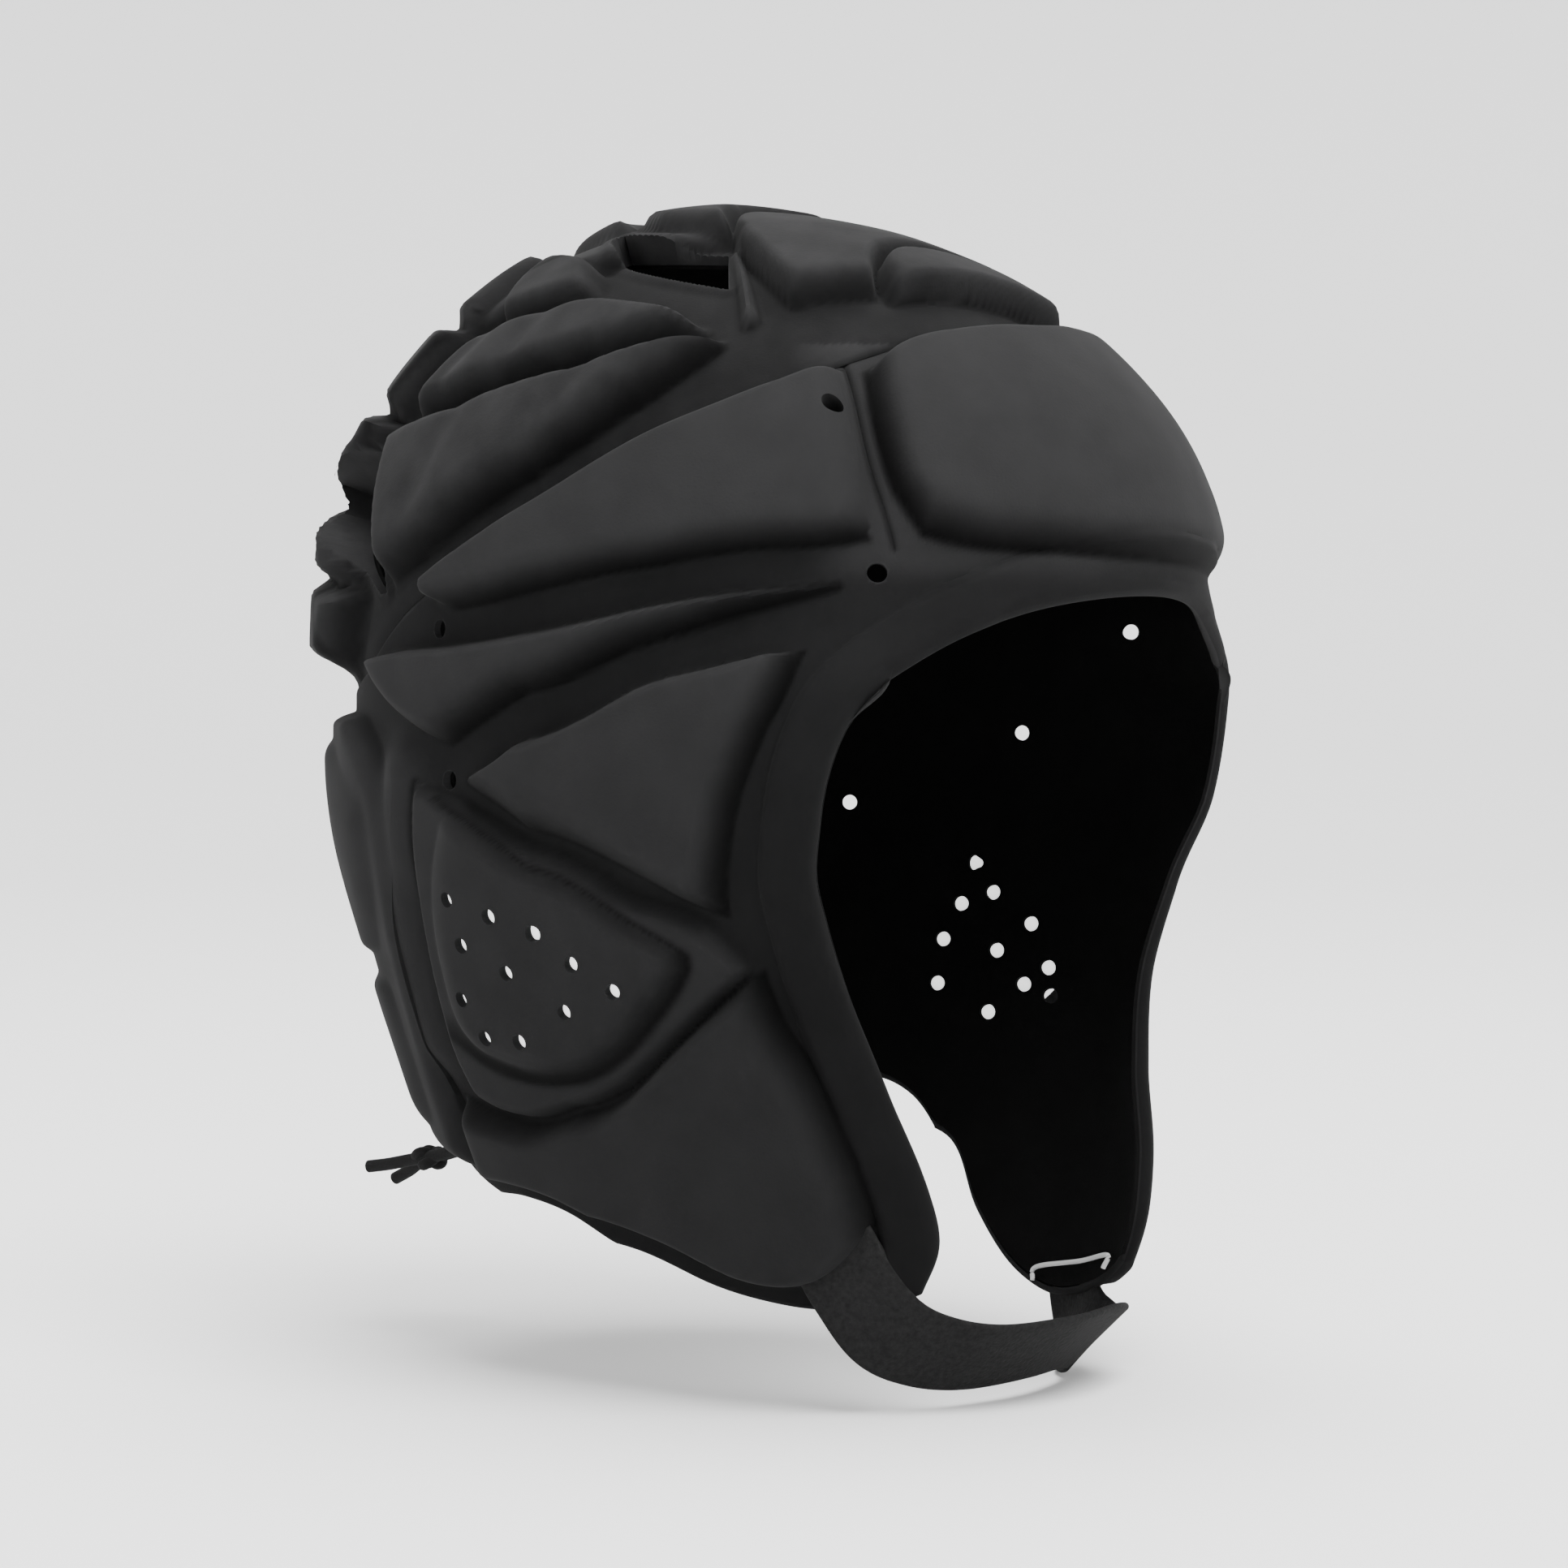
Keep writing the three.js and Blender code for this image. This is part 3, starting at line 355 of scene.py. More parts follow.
VENTS: dict[Side, Line] = {
    Side.RIGHT: ((47, 0.658), (43, 0.92), (107, 1.016), (103.5, 1.232)),
    Side.LEFT: ((47, 0.658), (65, 1.03), (88.5, 1.192), (110.5, 1.31)),
}
EAR_HOLES: dict[Side, Line] = {
    Side.RIGHT: (
        (102.5, 1.39), (95.5, 1.41), (90, 1.43), (101.5, 1.455), (94.5, 1.49), (86.5, 1.47), (81, 1.505),
        (104, 1.535), (88, 1.54), (101, 1.59), (94.5, 1.59)),
    Side.LEFT: (
        (90.5, 1.396), (88.5, 1.44), (91.5, 1.46), (82, 1.484), (93.5, 1.516), (86.5, 1.528), (76.5, 1.548),
        (93.5, 1.584), (81, 1.576), (75, 1.59), (86.5, 1.622)),
}


def read_column(column: int, at: np.ndarray) -> np.ndarray:
    """Smooth reading of one column of SECTIONS.

    Args:
        column: Which column to read.
        at: Shares down from the crown.

    Returns:
        The value at each share.
    """
    keys, values = SECTIONS[:, 0], SECTIONS[:, column]
    last = len(keys) - 1
    at = np.clip(at, keys[0], keys[last])
    row = np.clip(np.searchsorted(keys, at, side="left") - 1, 0, last - 1)
    before, after = np.maximum(np.arange(last + 1) - 1, 0), np.minimum(np.arange(last + 1) + 1, last)
    slope = (values[after] - values[before]) / (keys[after] - keys[before])
    step = keys[row + 1] - keys[row]
    t = (at - keys[row]) / step
    rise = values[row + 1] - values[row]
    bend = t * (1 - t) * ((1 - t) * (slope[row] * step - rise) - t * (slope[row + 1] * step - rise))
    return values[row] + rise * t + bend


def hollow_point(around: np.ndarray, down: np.ndarray) -> np.ndarray:
    """Points of the head hollow.

    Args:
        around: Degrees round from the front, toward the wearer's right.
        down: Shares down from the crown: 1 at the widest level, then 1 more per SKIRT_DROP.

    Returns:
        Points in mm, with x, y and z on the last axis.
    """
    around, down = np.broadcast_arrays(np.asarray(around, float), np.asarray(down, float))
    angle, skirt = np.radians(around), np.maximum(down, 1.0)
    tilt = np.minimum(down, 1.0) * math.pi / 2
    facing = np.cos(angle) > 0
    reach = np.where(facing, FRONT_REACH * read_column(2, skirt), BACK_REACH * read_column(3, skirt))
    bend = 2 / np.where(facing, read_column(4, down), read_column(5, down))
    across, along = (
        np.sign(part) * np.abs(part) ** bend * np.sin(tilt) for part in (np.sin(angle), np.cos(angle)))
    return np.stack([
        -HALF_WIDTH * read_column(1, skirt) * across,
        -reach * along + CROWN_BACK * np.cos(tilt) ** 4,
        DOME_HEIGHT * (np.cos(tilt) - 1) - SKIRT_DROP * (skirt - 1),
    ], axis=-1)


def outward(around: np.ndarray, down: np.ndarray) -> np.ndarray:
    """Outward directions of the head form at the given places."""
    around, down = np.broadcast_arrays(np.asarray(around, float), np.asarray(down, float))
    across = hollow_point(around + 0.5, down) - hollow_point(around - 0.5, down)
    along = hollow_point(around, down + 0.005) - hollow_point(around, down - 0.005)
    normal = np.cross(across, along)
    normal = np.where((down < 0.01)[..., None], np.array([0.0, 0.0, 1.0]), normal)
    return normal / np.linalg.norm(normal, axis=-1, keepdims=True)


def form_point(around: np.ndarray, down: np.ndarray, off: np.ndarray | float) -> np.ndarray:
    """Points at a distance outside the hollow, in mm."""
    lift = np.asarray(off, float)[..., None] if np.ndim(off) else float(off)
    return hollow_point(around, down) + outward(around, down) * lift


def smooth_line(rows: Line, count: int = 120) -> np.ndarray:
    """Even stations along a smooth curve through places.

    Args:
        rows: Places the curve passes.
        count: Number of stations.

    Returns:
        Stations as (around, down), evenly spaced along the flat picture of the form.
    """
    scale = np.array([MM_PER_DEGREE, MM_PER_SHARE])
    points = np.array(rows, float) * scale
    points = np.vstack([2 * points[0] - points[1], points, 2 * points[-1] - points[-2]])
    knots = np.concatenate([[0], np.cumsum(np.linalg.norm(np.diff(points, axis=0), axis=1) ** 0.5)])
    pieces = []
    for i in range(1, len(points) - 2):
        k, p = knots[i - 1:i + 3], points[i - 1:i + 3]
        t = np.linspace(k[1], k[2], 24, endpoint=i == len(points) - 3)[:, None]
        first = [((k[j + 1] - t) * p[j] + (t - k[j]) * p[j + 1]) / (k[j + 1] - k[j]) for j in range(3)]
        second = [
            ((k[j + 2] - t) * first[j] + (t - k[j]) * first[j + 1]) / (k[j + 2] - k[j]) for j in range(2)]
        pieces.append(((k[2] - t) * second[0] + (t - k[1]) * second[1]) / (k[2] - k[1]))
    curve = np.vstack(pieces)
    length = np.concatenate([[0], np.cumsum(np.linalg.norm(np.diff(curve, axis=0), axis=1))])
    stations = np.linspace(0, length[-1], count)
    return np.stack([np.interp(stations, length, curve[:, a]) for a in (0, 1)], axis=1) / scale


def read_line(line: np.ndarray, share: np.ndarray) -> np.ndarray:
    """Places at shares of the length of an evenly spaced line."""
    at = np.asarray(share) * (len(line) - 1)
    return np.stack([np.interp(at, np.arange(len(line)), line[:, a]) for a in (0, 1)], axis=-1)


def patch(top: np.ndarray, bottom: np.ndarray, start: np.ndarray, end: np.ndarray,
          us: np.ndarray, vs: np.ndarray) -> np.ndarray:
    """Grid of places between four lines: top and bottom run with u, start and end with v."""
    u, v = us[:, None, None], vs[None, :, None]
    rows = (1 - v) * read_line(top, us)[:, None] + v * read_line(bottom, us)[:, None]
    columns = (1 - u) * read_line(start, vs)[None] + u * read_line(end, vs)[None]
    corners = (
        (1 - u) * (1 - v) * top[0] + u * (1 - v) * top[-1] + (1 - u) * v * bottom[0] + u * v * bottom[-1])
    return rows + columns - corners


def polyline_distance(points: np.ndarray, line: np.ndarray) -> np.ndarray:
    """Shortest distance from each point to a 3-D polyline, in mm."""
    best = np.full(len(points), 1e9)
    for a, b in zip(line[:-1], line[1:]):
        along = b - a
        share = np.clip((points - a) @ along / max(along @ along, 1e-9), 0, 1)
        best = np.minimum(best, np.sum((points - a - share[:, None] * along) ** 2, axis=1))
    return np.sqrt(best)


def inside_outline(places: np.ndarray, outline: np.ndarray) -> np.ndarray:
    """Which places lie inside a closed outline of places."""
    inside = np.zeros(len(places), bool)
    x, y = places[:, 0], places[:, 1]
    for (x0, y0), (x1, y1) in zip(outline, np.roll(outline, -1, axis=0)):
        if y0 != y1:
            crosses = ((y0 > y) != (y1 > y)) & (x < (x1 - x0) * (y - y0) / (y1 - y0) + x0)
            inside ^= crosses
    return inside


def turned(line: Line, side: Side) -> Line:
    """The line on the given side of the wearer."""
    return tuple((side.value * around, down) for around, down in line)


def to_map(places: np.ndarray) -> np.ndarray:
    """Places in a flat map seen from over the crown, where no line breaks at the middle."""
    angle = np.radians(places[..., 0])
    return np.stack([places[..., 1] * np.sin(angle), places[..., 1] * np.cos(angle)], axis=-1)


def from_map(points: np.ndarray) -> np.ndarray:
    """Places back from the flat map."""
    return np.stack(
        [np.degrees(np.arctan2(points[..., 0], points[..., 1])), np.hypot(points[..., 0], points[..., 1])], axis=-1)


@dataclass(frozen=True)
class Pad:
    """Foam under the cloth, ready to be measured: its sides on the flat map, its height and rounding."""

    sides: tuple[np.ndarray, ...]
    height: float
    shoulders: tuple[float, ...]
    # How strongly painted shade darkens the cloth along each side
    fold_shades: tuple[float, ...] = (1.0, 1.0, 1.0, 1.0)

    @classmethod
    def from_row(cls, row: PadRow, side: Side = Side.RIGHT) -> "Pad":
        """Pad from a row of lines, on a side."""
        rows = (row.top, row.front, row.bottom, row.rear)
        sides = tuple(to_map(smooth_line(turned(line, side), 60)) for line in rows)
        return cls(sides, row.height, row.shoulders, row.fold_shades)

    @classmethod
    def from_quad(cls, row: QuadRow, side: Side = Side.RIGHT) -> "Pad":
        """Pad from a row of corners and swells, on a side."""
        sides = [to_map(line * [side.value, 1]) for line in swollen_sides(row)]
        return cls(tuple(sides), row.height, row.shoulders)

    @classmethod
    def from_block(cls, row: BlockRow) -> "Pad":
        """Block over the middle of the crown, right end to left end."""
        t = np.linspace(0, 1, 40)[:, None]
        across = []
        for (around, down, middle), end, spread in (
                (row.front, row.left_front, -BLOCK_SPREAD), (row.back, row.left_back, BLOCK_SPREAD)):
            right, left = to_map(np.array([(around, down), end or (-around, down)], float)) - [0, spread]
            middle += spread
            centre = np.array([0.0, -middle])
            across.append(right + (left - right) * t + 4 * t * (1 - t) * (centre - (right + left) / 2))
        front, back = across
        run = np.linspace(0, 1, 12)[:, None]
        sides = (front, front[-1] + (back[-1] - front[-1]) * run, back[::-1], back[0] + (front[0] - back[0]) * run)
        return cls(sides, row.height, BLOCK_SHOULDERS)

    def measure(self, flat: np.ndarray, points: np.ndarray) -> tuple[np.ndarray, np.ndarray]:
        """Height and painted shade in folds and grooves, 0 away from the pad.

        Args:
            flat: Places on the flat map.
            points: The same places as points of the hollow, in mm.

        Returns:
            Height in mm, and how strongly painted shade darkens each place, from 0 to 1.
        """
        height, fold_shade = np.zeros(len(flat)), np.zeros(len(flat))
        feet = [hollow_point(*from_map(side).T) for side in self.sides]
        every = np.vstack(feet)
        low, high = every.min(axis=0) - FOLD_SHADE_REACH, every.max(axis=0) + FOLD_SHADE_REACH
        near = np.flatnonzero(np.all((points > low) & (points < high), axis=1))
        inside = inside_outline(flat[near], np.vstack([side[:-1] for side in self.sides]))
        rise = inside.astype(float)
        for foot, radius, depth in zip(feet, self.shoulders, self.fold_shades):
            away = polyline_distance(points[near], foot)
            rise *= 1 - (1 - np.clip(away / radius, 0, 1)) ** 2.3
            # Painted shade: dark down the soft shoulder inside each side, and a thin dark line just outside it, as
            # shade in the groove at the pad's foot
            softness = min(max((radius - 1.5) / 4.5, 0.0), 1.0)
            slope = 1 - ease(away / (FOLD_SHADE_SHARE * radius))
            fold_shade[near] = np.maximum(fold_shade[near], depth * np.where(
                inside, softness * slope, OUTER_FOLD_SHADE * np.exp(-(away / OUTER_FOLD_SHADE_WIDTH) ** 2)))
        height[near] = self.height * rise
        return height, fold_shade


def ease(share: np.ndarray) -> np.ndarray:
    """Smooth step from 0 to 1."""
    share = np.clip(share, 0, 1)
    return share * share * (3 - 2 * share)


def swollen_sides(row: QuadRow) -> list[np.ndarray]:
    """Four sides of a swollen quadrilateral as places, in order round it."""
    scale = np.array([MM_PER_DEGREE, MM_PER_SHARE])
    corners = np.array(row.corners, float) * scale
    t = np.linspace(0, 1, 40)[:, None]
    sides = []
    for i, swell in enumerate(row.swell):
        start, end = corners[i], corners[(i + 1) % 4]
        out = np.array([start[1] - end[1], end[0] - start[0]])
        bulge = (start + end) / 2 + 2 * swell * out
        sides.append(((1 - t) ** 2 * start + 2 * t * (1 - t) * bulge + t ** 2 * end) / scale)
    return sides


def ripple(points: np.ndarray) -> np.ndarray:
    """Slow unevenness of the stuffed cloth, from -1 to 1, at points in mm."""
    total = np.zeros(len(points))
    for wave, way, phase in (
            (31.0, (0.8, 0.3, 0.5), 0.4), (23.0, (-0.4, 0.8, 0.45), 2.1), (17.0, (0.3, -0.5, 0.8), 4.0),
            (13.0, (0.7, 0.6, -0.4), 1.3)):
        total += np.sin(2 * math.pi * (points @ np.array(way)) / wave + phase)
    return total / 4


class Relief:
    """Height of the cloth over the base, lifted by pads and dented by creases, with the painted shade of its folds and
    grooves.
    """

    def __init__(self, pads: list[Pad], creases: list[np.ndarray] | None = None,
                 dents: tuple[Crease, ...] = (), swells: list[np.ndarray] | None = None) -> None:
        """Keeps the pads, the seams that draw the cloth in, the soft creases and the seams it swells over."""
        self.pads, self.seams, self.dents, self.swells = pads, creases or [], dents, swells or []

    def measure(self, places: np.ndarray) -> tuple[np.ndarray, np.ndarray]:
        """Height over the base in mm, and darkening from 0 to 1 (painted shade, and the darker band tone), at each
        place.
        """
        flat = to_map(places).reshape(-1, 2)
        around, down = places[..., 0].ravel(), places[..., 1].ravel()
        points = hollow_point(around, down)
        height, fold_shade = np.zeros(len(flat)), np.zeros(len(flat))
        for pad in self.pads:
            pad_height, pad_fold_shade = pad.measure(flat, points)
            height, fold_shade = np.maximum(height, pad_height), np.maximum(fold_shade, pad_fold_shade)
        for line in self.swells:
            away = polyline_distance(points, hollow_point(line[:, 0], line[:, 1]))
            swell = SWELL_HEIGHT * np.exp(-(away / SWELL_WIDTH) ** 2)
            height = (height ** 3 + swell ** 3) ** (1 / 3)
        # Darker low cloth where no pad lifts it: painted shade in the channels between pads, and a darker tone on the
        # band by the face edge; less of it over the forehead
        turn = np.abs((around + 180) % 360 - 180)
        open_front = (1 - ease((turn - 44) / 10)) * (1 - ease((down - 0.89) / 0.06)) * (down > 0.5)
        low_cloth_shade_and_tone = LOW_CLOTH_SHADE_AND_TONE * (1 - 0.8 * open_front) * (1 - np.clip(height / 3, 0, 1))
        fold_shade = np.maximum(fold_shade, low_cloth_shade_and_tone)
        height += 0.2 * ripple(points) * np.clip(height / 4, 0, 1)
        for dent in self.dents:
            for sign in (1, -1):
                line = smooth_line(dent.line, 30) * [sign, 1]
                away = polyline_distance(points, hollow_point(line[:, 0], line[:, 1]))
                height -= dent.depth * np.exp(-(away / dent.width) ** 2) * np.clip(height / 4, 0, 1)
        for line in self.seams:
            away = polyline_distance(points, hollow_point(line[:, 0], line[:, 1]))
            height -= 0.8 * np.clip(1 - away / 1.3, 0, 1) ** 2
            # Painted shade in the drawn-in seam
            fold_shade = np.maximum(fold_shade, 0.75 * np.exp(-(away / 0.8) ** 2))
        shape = places.shape[:-1]
        return blurred(height.reshape(shape)), fold_shade.reshape(shape)


def blurred(values: np.ndarray) -> np.ndarray:
    """Values of a grid, each mixed a little with its neighbours."""
    padded = np.pad(values, 1, mode="edge")
    rows = (padded[:-2] + 2 * padded[1:-1] + padded[2:]) / 4
    return (rows[:, :-2] + 2 * rows[:, 1:-1] + rows[:, 2:]) / 4


def shell_mesh(name: str, outer: np.ndarray, inner: np.ndarray, wrap: bool = False,
               fold_shade: np.ndarray | None = None) -> bpy.types.Object:
    """Closed skin between two grids of points.

    Args:
        name: Name of the object.
        outer: Outer points, rows by columns by 3, in mm.
        inner: Inner points on the same grid.
        wrap: True where the rows are spokes round a middle: the last meets the first, and the first
            column is closed by a small flat lid.
        fold_shade: Painted shade, and the darker band tone, on the outer grid, kept as an attribute that darkens the
            cloth's colour.

    Returns:
        The new object, faces out.
    """
    rows, columns = outer.shape[:2]
    layer = rows * columns
    index = np.arange(layer).reshape(rows, columns)
    near, far = (index, np.roll(index, -1, axis=0)) if wrap else (index[:-1], index[1:])
    quads = np.stack([near[:, :-1], far[:, :-1], far[:, 1:], near[:, 1:]], axis=-1).reshape(-1, 4)
    walls = [np.stack([near[:, -1], far[:, -1], far[:, -1] + layer, near[:, -1] + layer], axis=-1)]
    if wrap:
        ring = index[:, 0]
        half = rows // 2
        lid = np.stack([ring[:half - 1], ring[:half:-1], ring[-2:half - 1:-1], ring[1:half]], axis=-1)
        quads = np.concatenate([quads, lid])
    else:
        first, last = index[0], index[-1]
        walls += [np.stack([far[:, 0], near[:, 0], near[:, 0] + layer, far[:, 0] + layer], axis=-1),
                  np.stack([first[:-1], first[1:], first[1:] + layer, first[:-1] + layer], axis=-1),
                  np.stack([last[1:], last[:-1], last[:-1] + layer, last[1:] + layer], axis=-1)]
    faces = np.concatenate([quads, quads[:, ::-1] + layer, *walls])
    item = mesh_object(name, np.concatenate([outer.reshape(-1, 3), inner.reshape(-1, 3)]), faces)
    if fold_shade is not None:
        # The painted shade is kept on the outer points; the inner points get none
        values = np.concatenate([fold_shade.ravel(), np.zeros(layer)]).astype(np.float32)
        item.data.attributes.new("fold_shade", "FLOAT", "POINT").data.foreach_set("value", values)
    return item


def tube_mesh(name: str, middle: np.ndarray, across: np.ndarray, out: np.ndarray, section: np.ndarray) -> bpy.types.Object:
    """Closed bar of one section along a line.

    Args:
        name: Name of the object.
        middle: Points of the line, in mm.
        across: Unit direction across the bar at each point.
        out: Unit direction of its face at each point.
        section: Closed section as (across, out) in mm, an even number of points in order.

    Returns:
        The new object, with a UV map that holds metres along the section and along the line.
    """
    rows, columns = len(middle), len(section)
    points = (
        middle[:, None] + across[:, None] * section[None, :, :1] + out[:, None] * section[None, :, 1:])
    index = np.arange(rows * columns).reshape(rows, columns)
    side = np.roll(index, -1, axis=1)
    quads = np.stack([index[:-1], side[:-1], side[1:], index[1:]], axis=-1).reshape(-1, 4)
    half = columns // 2
    lids = []
    for ring, step in ((index[0], -1), (index[-1], 1)):
        lid = np.stack([ring[:half - 1], ring[1:half], ring[-2:half - 1:-1], ring[:half:-1]], axis=-1)
        lids.append(lid[:, ::step])
    faces = np.concatenate([quads, *lids])
    item = mesh_object(name, points.reshape(-1, 3), faces)
    round_it = np.concatenate([[0], np.cumsum(np.linalg.norm(np.diff(section, axis=0), axis=1))])
    along = np.concatenate([[0], np.cumsum(np.linalg.norm(np.diff(middle, axis=0), axis=1))])
    uv = np.stack(np.meshgrid(along, round_it, indexing="ij")[::-1], axis=-1).reshape(-1, 2) * MM
    corner = np.empty(len(item.data.loops), np.int32)
    item.data.loops.foreach_get("vertex_index", corner)
    layer = item.data.uv_layers.new(name="UVMap")
    layer.uv.foreach_set("vector", uv[corner].astype(np.float32).ravel())
    return item


def mesh_object(name: str, points: np.ndarray, faces: np.ndarray) -> bpy.types.Object:
    """Object from points in mm and faces of one size, with faces turned outward."""
    corners = points[faces]
    volume = np.einsum("ij,ij->i", corners[:, 0], np.cross(corners[:, 1], corners[:, 2])).sum()
    volume += np.einsum("ij,ij->i", corners[:, 0], np.cross(corners[:, 2], corners[:, -1])).sum()
    faces = faces if volume > 0 else faces[:, ::-1]
    mesh = bpy.data.meshes.new(name)
    mesh.vertices.add(len(points))
    mesh.vertices.foreach_set("co", (points * MM).astype(np.float32).ravel())
    mesh.loops.add(faces.size)
    mesh.loops.foreach_set("vertex_index", np.ascontiguousarray(faces, dtype=np.int32).ravel())
    mesh.polygons.add(len(faces))
    mesh.polygons.foreach_set("loop_start", np.arange(0, faces.size, faces.shape[1], dtype=np.int32))
    mesh.update(calc_edges=True)
    mesh.validate()
    item = bpy.data.objects.new(name, mesh)
    bpy.context.scene.collection.objects.link(item)
    return item


def prism(places: np.ndarray, low: float, high: float, lean: np.ndarray | None = None) -> tuple[np.ndarray, np.ndarray]:
    """Closed cutter over an outline of places, from one distance outside the hollow to another.

    Args:
        places: Outline, in order.
        low: Lower distance, in mm.
        high: Upper distance, in mm.
        lean: Direction of the cut; the form's own outward direction where it is None.

    Returns:
        Points and triangles.
    """
    count = len(places)
    middle = places.mean(axis=0)
    ways = outward(places[:, 0], places[:, 1]) if lean is None else np.broadcast_to(lean, (count, 3))
    way = outward(*middle) if lean is None else lean
    rings = [hollow_point(places[:, 0], places[:, 1]) + ways * off for off in (low, high)]
    caps = [hollow_point(*middle) + way * off for off in (low, high)]
    points = np.vstack([*rings, *caps])
    i = np.arange(count)
    j = np.roll(i, -1)
    triangles = np.concatenate([
        np.stack([i, j, j + count], 1), np.stack([i, j + count, i + count], 1),
        np.stack([j, i, np.full(count, 2 * count)], 1),
        np.stack([i + count, j + count, np.full(count, 2 * count + 1)], 1)])
    return points, triangles


def local_steps(place: Place) -> np.ndarray:
    """Movement over the hollow for one degree round and for one share down, as two rows in mm."""
    around, down = place
    return np.array([
        (hollow_point(around + 1.2, down) - hollow_point(around - 1.2, down)) / 2.4,
        (hollow_point(around, down + 0.01) - hollow_point(around, down - 0.01)) / 0.02])


def round_outline(place: Place, diameter: float, sides: int = 20) -> np.ndarray:
    """Round outline of places about a middle place, true to size on the form."""
    angle = np.linspace(0, 2 * math.pi, sides, endpoint=False)
    per_degree, per_share = np.linalg.norm(local_steps(place), axis=1)
    return np.stack([
        place[0] + diameter / 2 * np.cos(angle) / per_degree,
        place[1] + diameter / 2 * np.sin(angle) / per_share], axis=1)


def sight_outline(place: Place, diameter: float, sides: int = 20) -> np.ndarray:
    """Outline of places about a middle place that looks round along the line of sight."""
    angle = np.linspace(0, 2 * math.pi, sides, endpoint=False)
    right = np.cross([0.0, 0.0, 1.0], VIEW_WAY)
    screen = np.array([right / np.linalg.norm(right), np.cross(VIEW_WAY, right) / np.linalg.norm(right)])
    circle = diameter / 2 * np.stack([np.cos(angle), np.sin(angle)])
    return np.array(place) + np.linalg.solve(screen @ local_steps(place).T, circle).T


def cut(item: bpy.types.Object, cutters: list[tuple[np.ndarray, np.ndarray]]) -> None:
    """Cuts closed prisms out of an object for good; the walls of the cuts come after its own material, in the slot that
    later takes the near-black lining colour as painted shade inside the holes.
    """
    points, faces, start = [], [], 0
    for cutter_points, triangles in cutters:
        points.append(cutter_points)
        faces.append(triangles + start)
        start += len(cutter_points)
    blade = mesh_object("blade", np.vstack(points), np.vstack(faces))
    for owner, count in ((item, 1), (blade, 2)):
        for _ in range(count):
            owner.data.materials.append(None)
    blade.data.polygons.foreach_set("material_index", np.ones(len(blade.data.polygons), np.int32))
    knife = item.modifiers.new("cut", "BOOLEAN")
    knife.operation, knife.solver, knife.object = "DIFFERENCE", "MANIFOLD", blade
    keep_shape(item)
    bpy.data.objects.remove(blade, do_unlink=True)


def keep_shape(item: bpy.types.Object) -> None:
    """Replaces an object's mesh by what its modifiers make of it."""
    graph = bpy.context.evaluated_depsgraph_get()
    made = bpy.data.meshes.new_from_object(item.evaluated_get(graph))
    item.modifiers.clear()
    item.data = made


def smooth(item: bpy.types.Object, angle: float = 50.0) -> None:
    """Smooth shading with edges kept above an angle in degrees."""
    item.data.polygons.foreach_set("use_smooth", np.ones(len(item.data.polygons), bool))
    item.data.set_sharp_from_angle(angle=math.radians(angle))


def stations(length: float, pitch: float, rounded: tuple[bool, bool], margin: float) -> np.ndarray:
    """Shares along a length, denser where an end is a rounded free edge.

    Args:
        length: The length, in mm.
        pitch: Usual step, in mm.
        rounded: Which ends are free edges.
        margin: What is left out at a free edge, in mm.

    Returns:
        Shares from 0 to 1, or short of them where a margin is left.
    """
    low, high = (margin / length if end else 0.0 for end in rounded)
    parts = [np.linspace(low, 1 - high, max(2, round(length / pitch) + 1))]
    if not margin:
        close = np.array([0.12, 0.35, 0.7, RIM_ROUNDING, RIM_ROUNDING + 0.06]) / length
        parts += [close] * rounded[0] + [1 - close] * rounded[1]
    return np.unique(np.concatenate(parts))


@dataclass(frozen=True)
class Finish:
    """Cloth finish: colour, knit grain and sheen, with painted shade in folds and towards the bottom, and a glowing
    emission as painted light.
    """

    slot: str
    colour: tuple[float, float, float]
    roughness: float = 0.85
    sheen: float = 0.015
    shine: float = 0.04
    grain: float = 0.15
    grain_scale: float = 1600.0
    mottle: float = 0.12
    mottle_scale: float = 90.0
    # Emission strength: the surface glows as painted light, though it is no lamp
    painted_glow: float = 0.0
    # How far painted shade in folds and grooves darkens the colour
    fold_shade_depth: float = 0.0
    # Share of colour left at the bottom: painted shade, darker towards the bottom where less light falls
    low_shade: float = 1.0


# Heights in metres over which painted shade darkens the cloth towards the bottom, where less light falls
LOW_SHADE_HEIGHTS = (-0.165, -0.07)
# Outer and crown cloth in their own colour, with painted shade in folds; the outer cloth also has painted shade towards
# the bottom
OUTER = Finish("outer_fabric", (0.0155, 0.0155, 0.0158), mottle=0.09, fold_shade_depth=0.9, low_shade=0.66)
CROWN = Finish("crown_fabric", (0.0148, 0.0148, 0.0151), mottle=0.22, fold_shade_depth=0.86)
# Lining: its own dark colour, made near black as painted shade of the hollow's dark inside; the walls of cut holes take
# it too, as painted shade inside the holes
LINING_AND_HOLE_SHADE = Finish("lining_fabric", (0.003, 0.003, 0.003), sheen=0.0)
WEB = Finish("webbing", (0.0105, 0.0105, 0.0105), grain=0.7, grain_scale=1100.0, mottle=0.35, mottle_scale=900.0)
# Ear mesh: its own pale colour, plus a glowing emission as painted light so the ear holes look brightly lit
PALE_MESH_AND_GLOW = Finish("ear_mesh", (0.85, 0.85, 0.85), painted_glow=1.3, mottle=0.0)
THREAD = Finish("thread", (0.5, 0.5, 0.5), grain=0.4, mottle=0.0)
CORD = Finish("cord", (0.012, 0.012, 0.012), grain=0.5)


def add_node(tree: bpy.types.NodeTree, kind: str, **values: object) -> bpy.types.Node:
    """New node with its sockets and settings filled in."""
    node = tree.nodes.new(kind)
    for name, value in values.items():
        if name in node.inputs:
            node.inputs[name].default_value = value
        else:
            setattr(node, name, value)
    return node


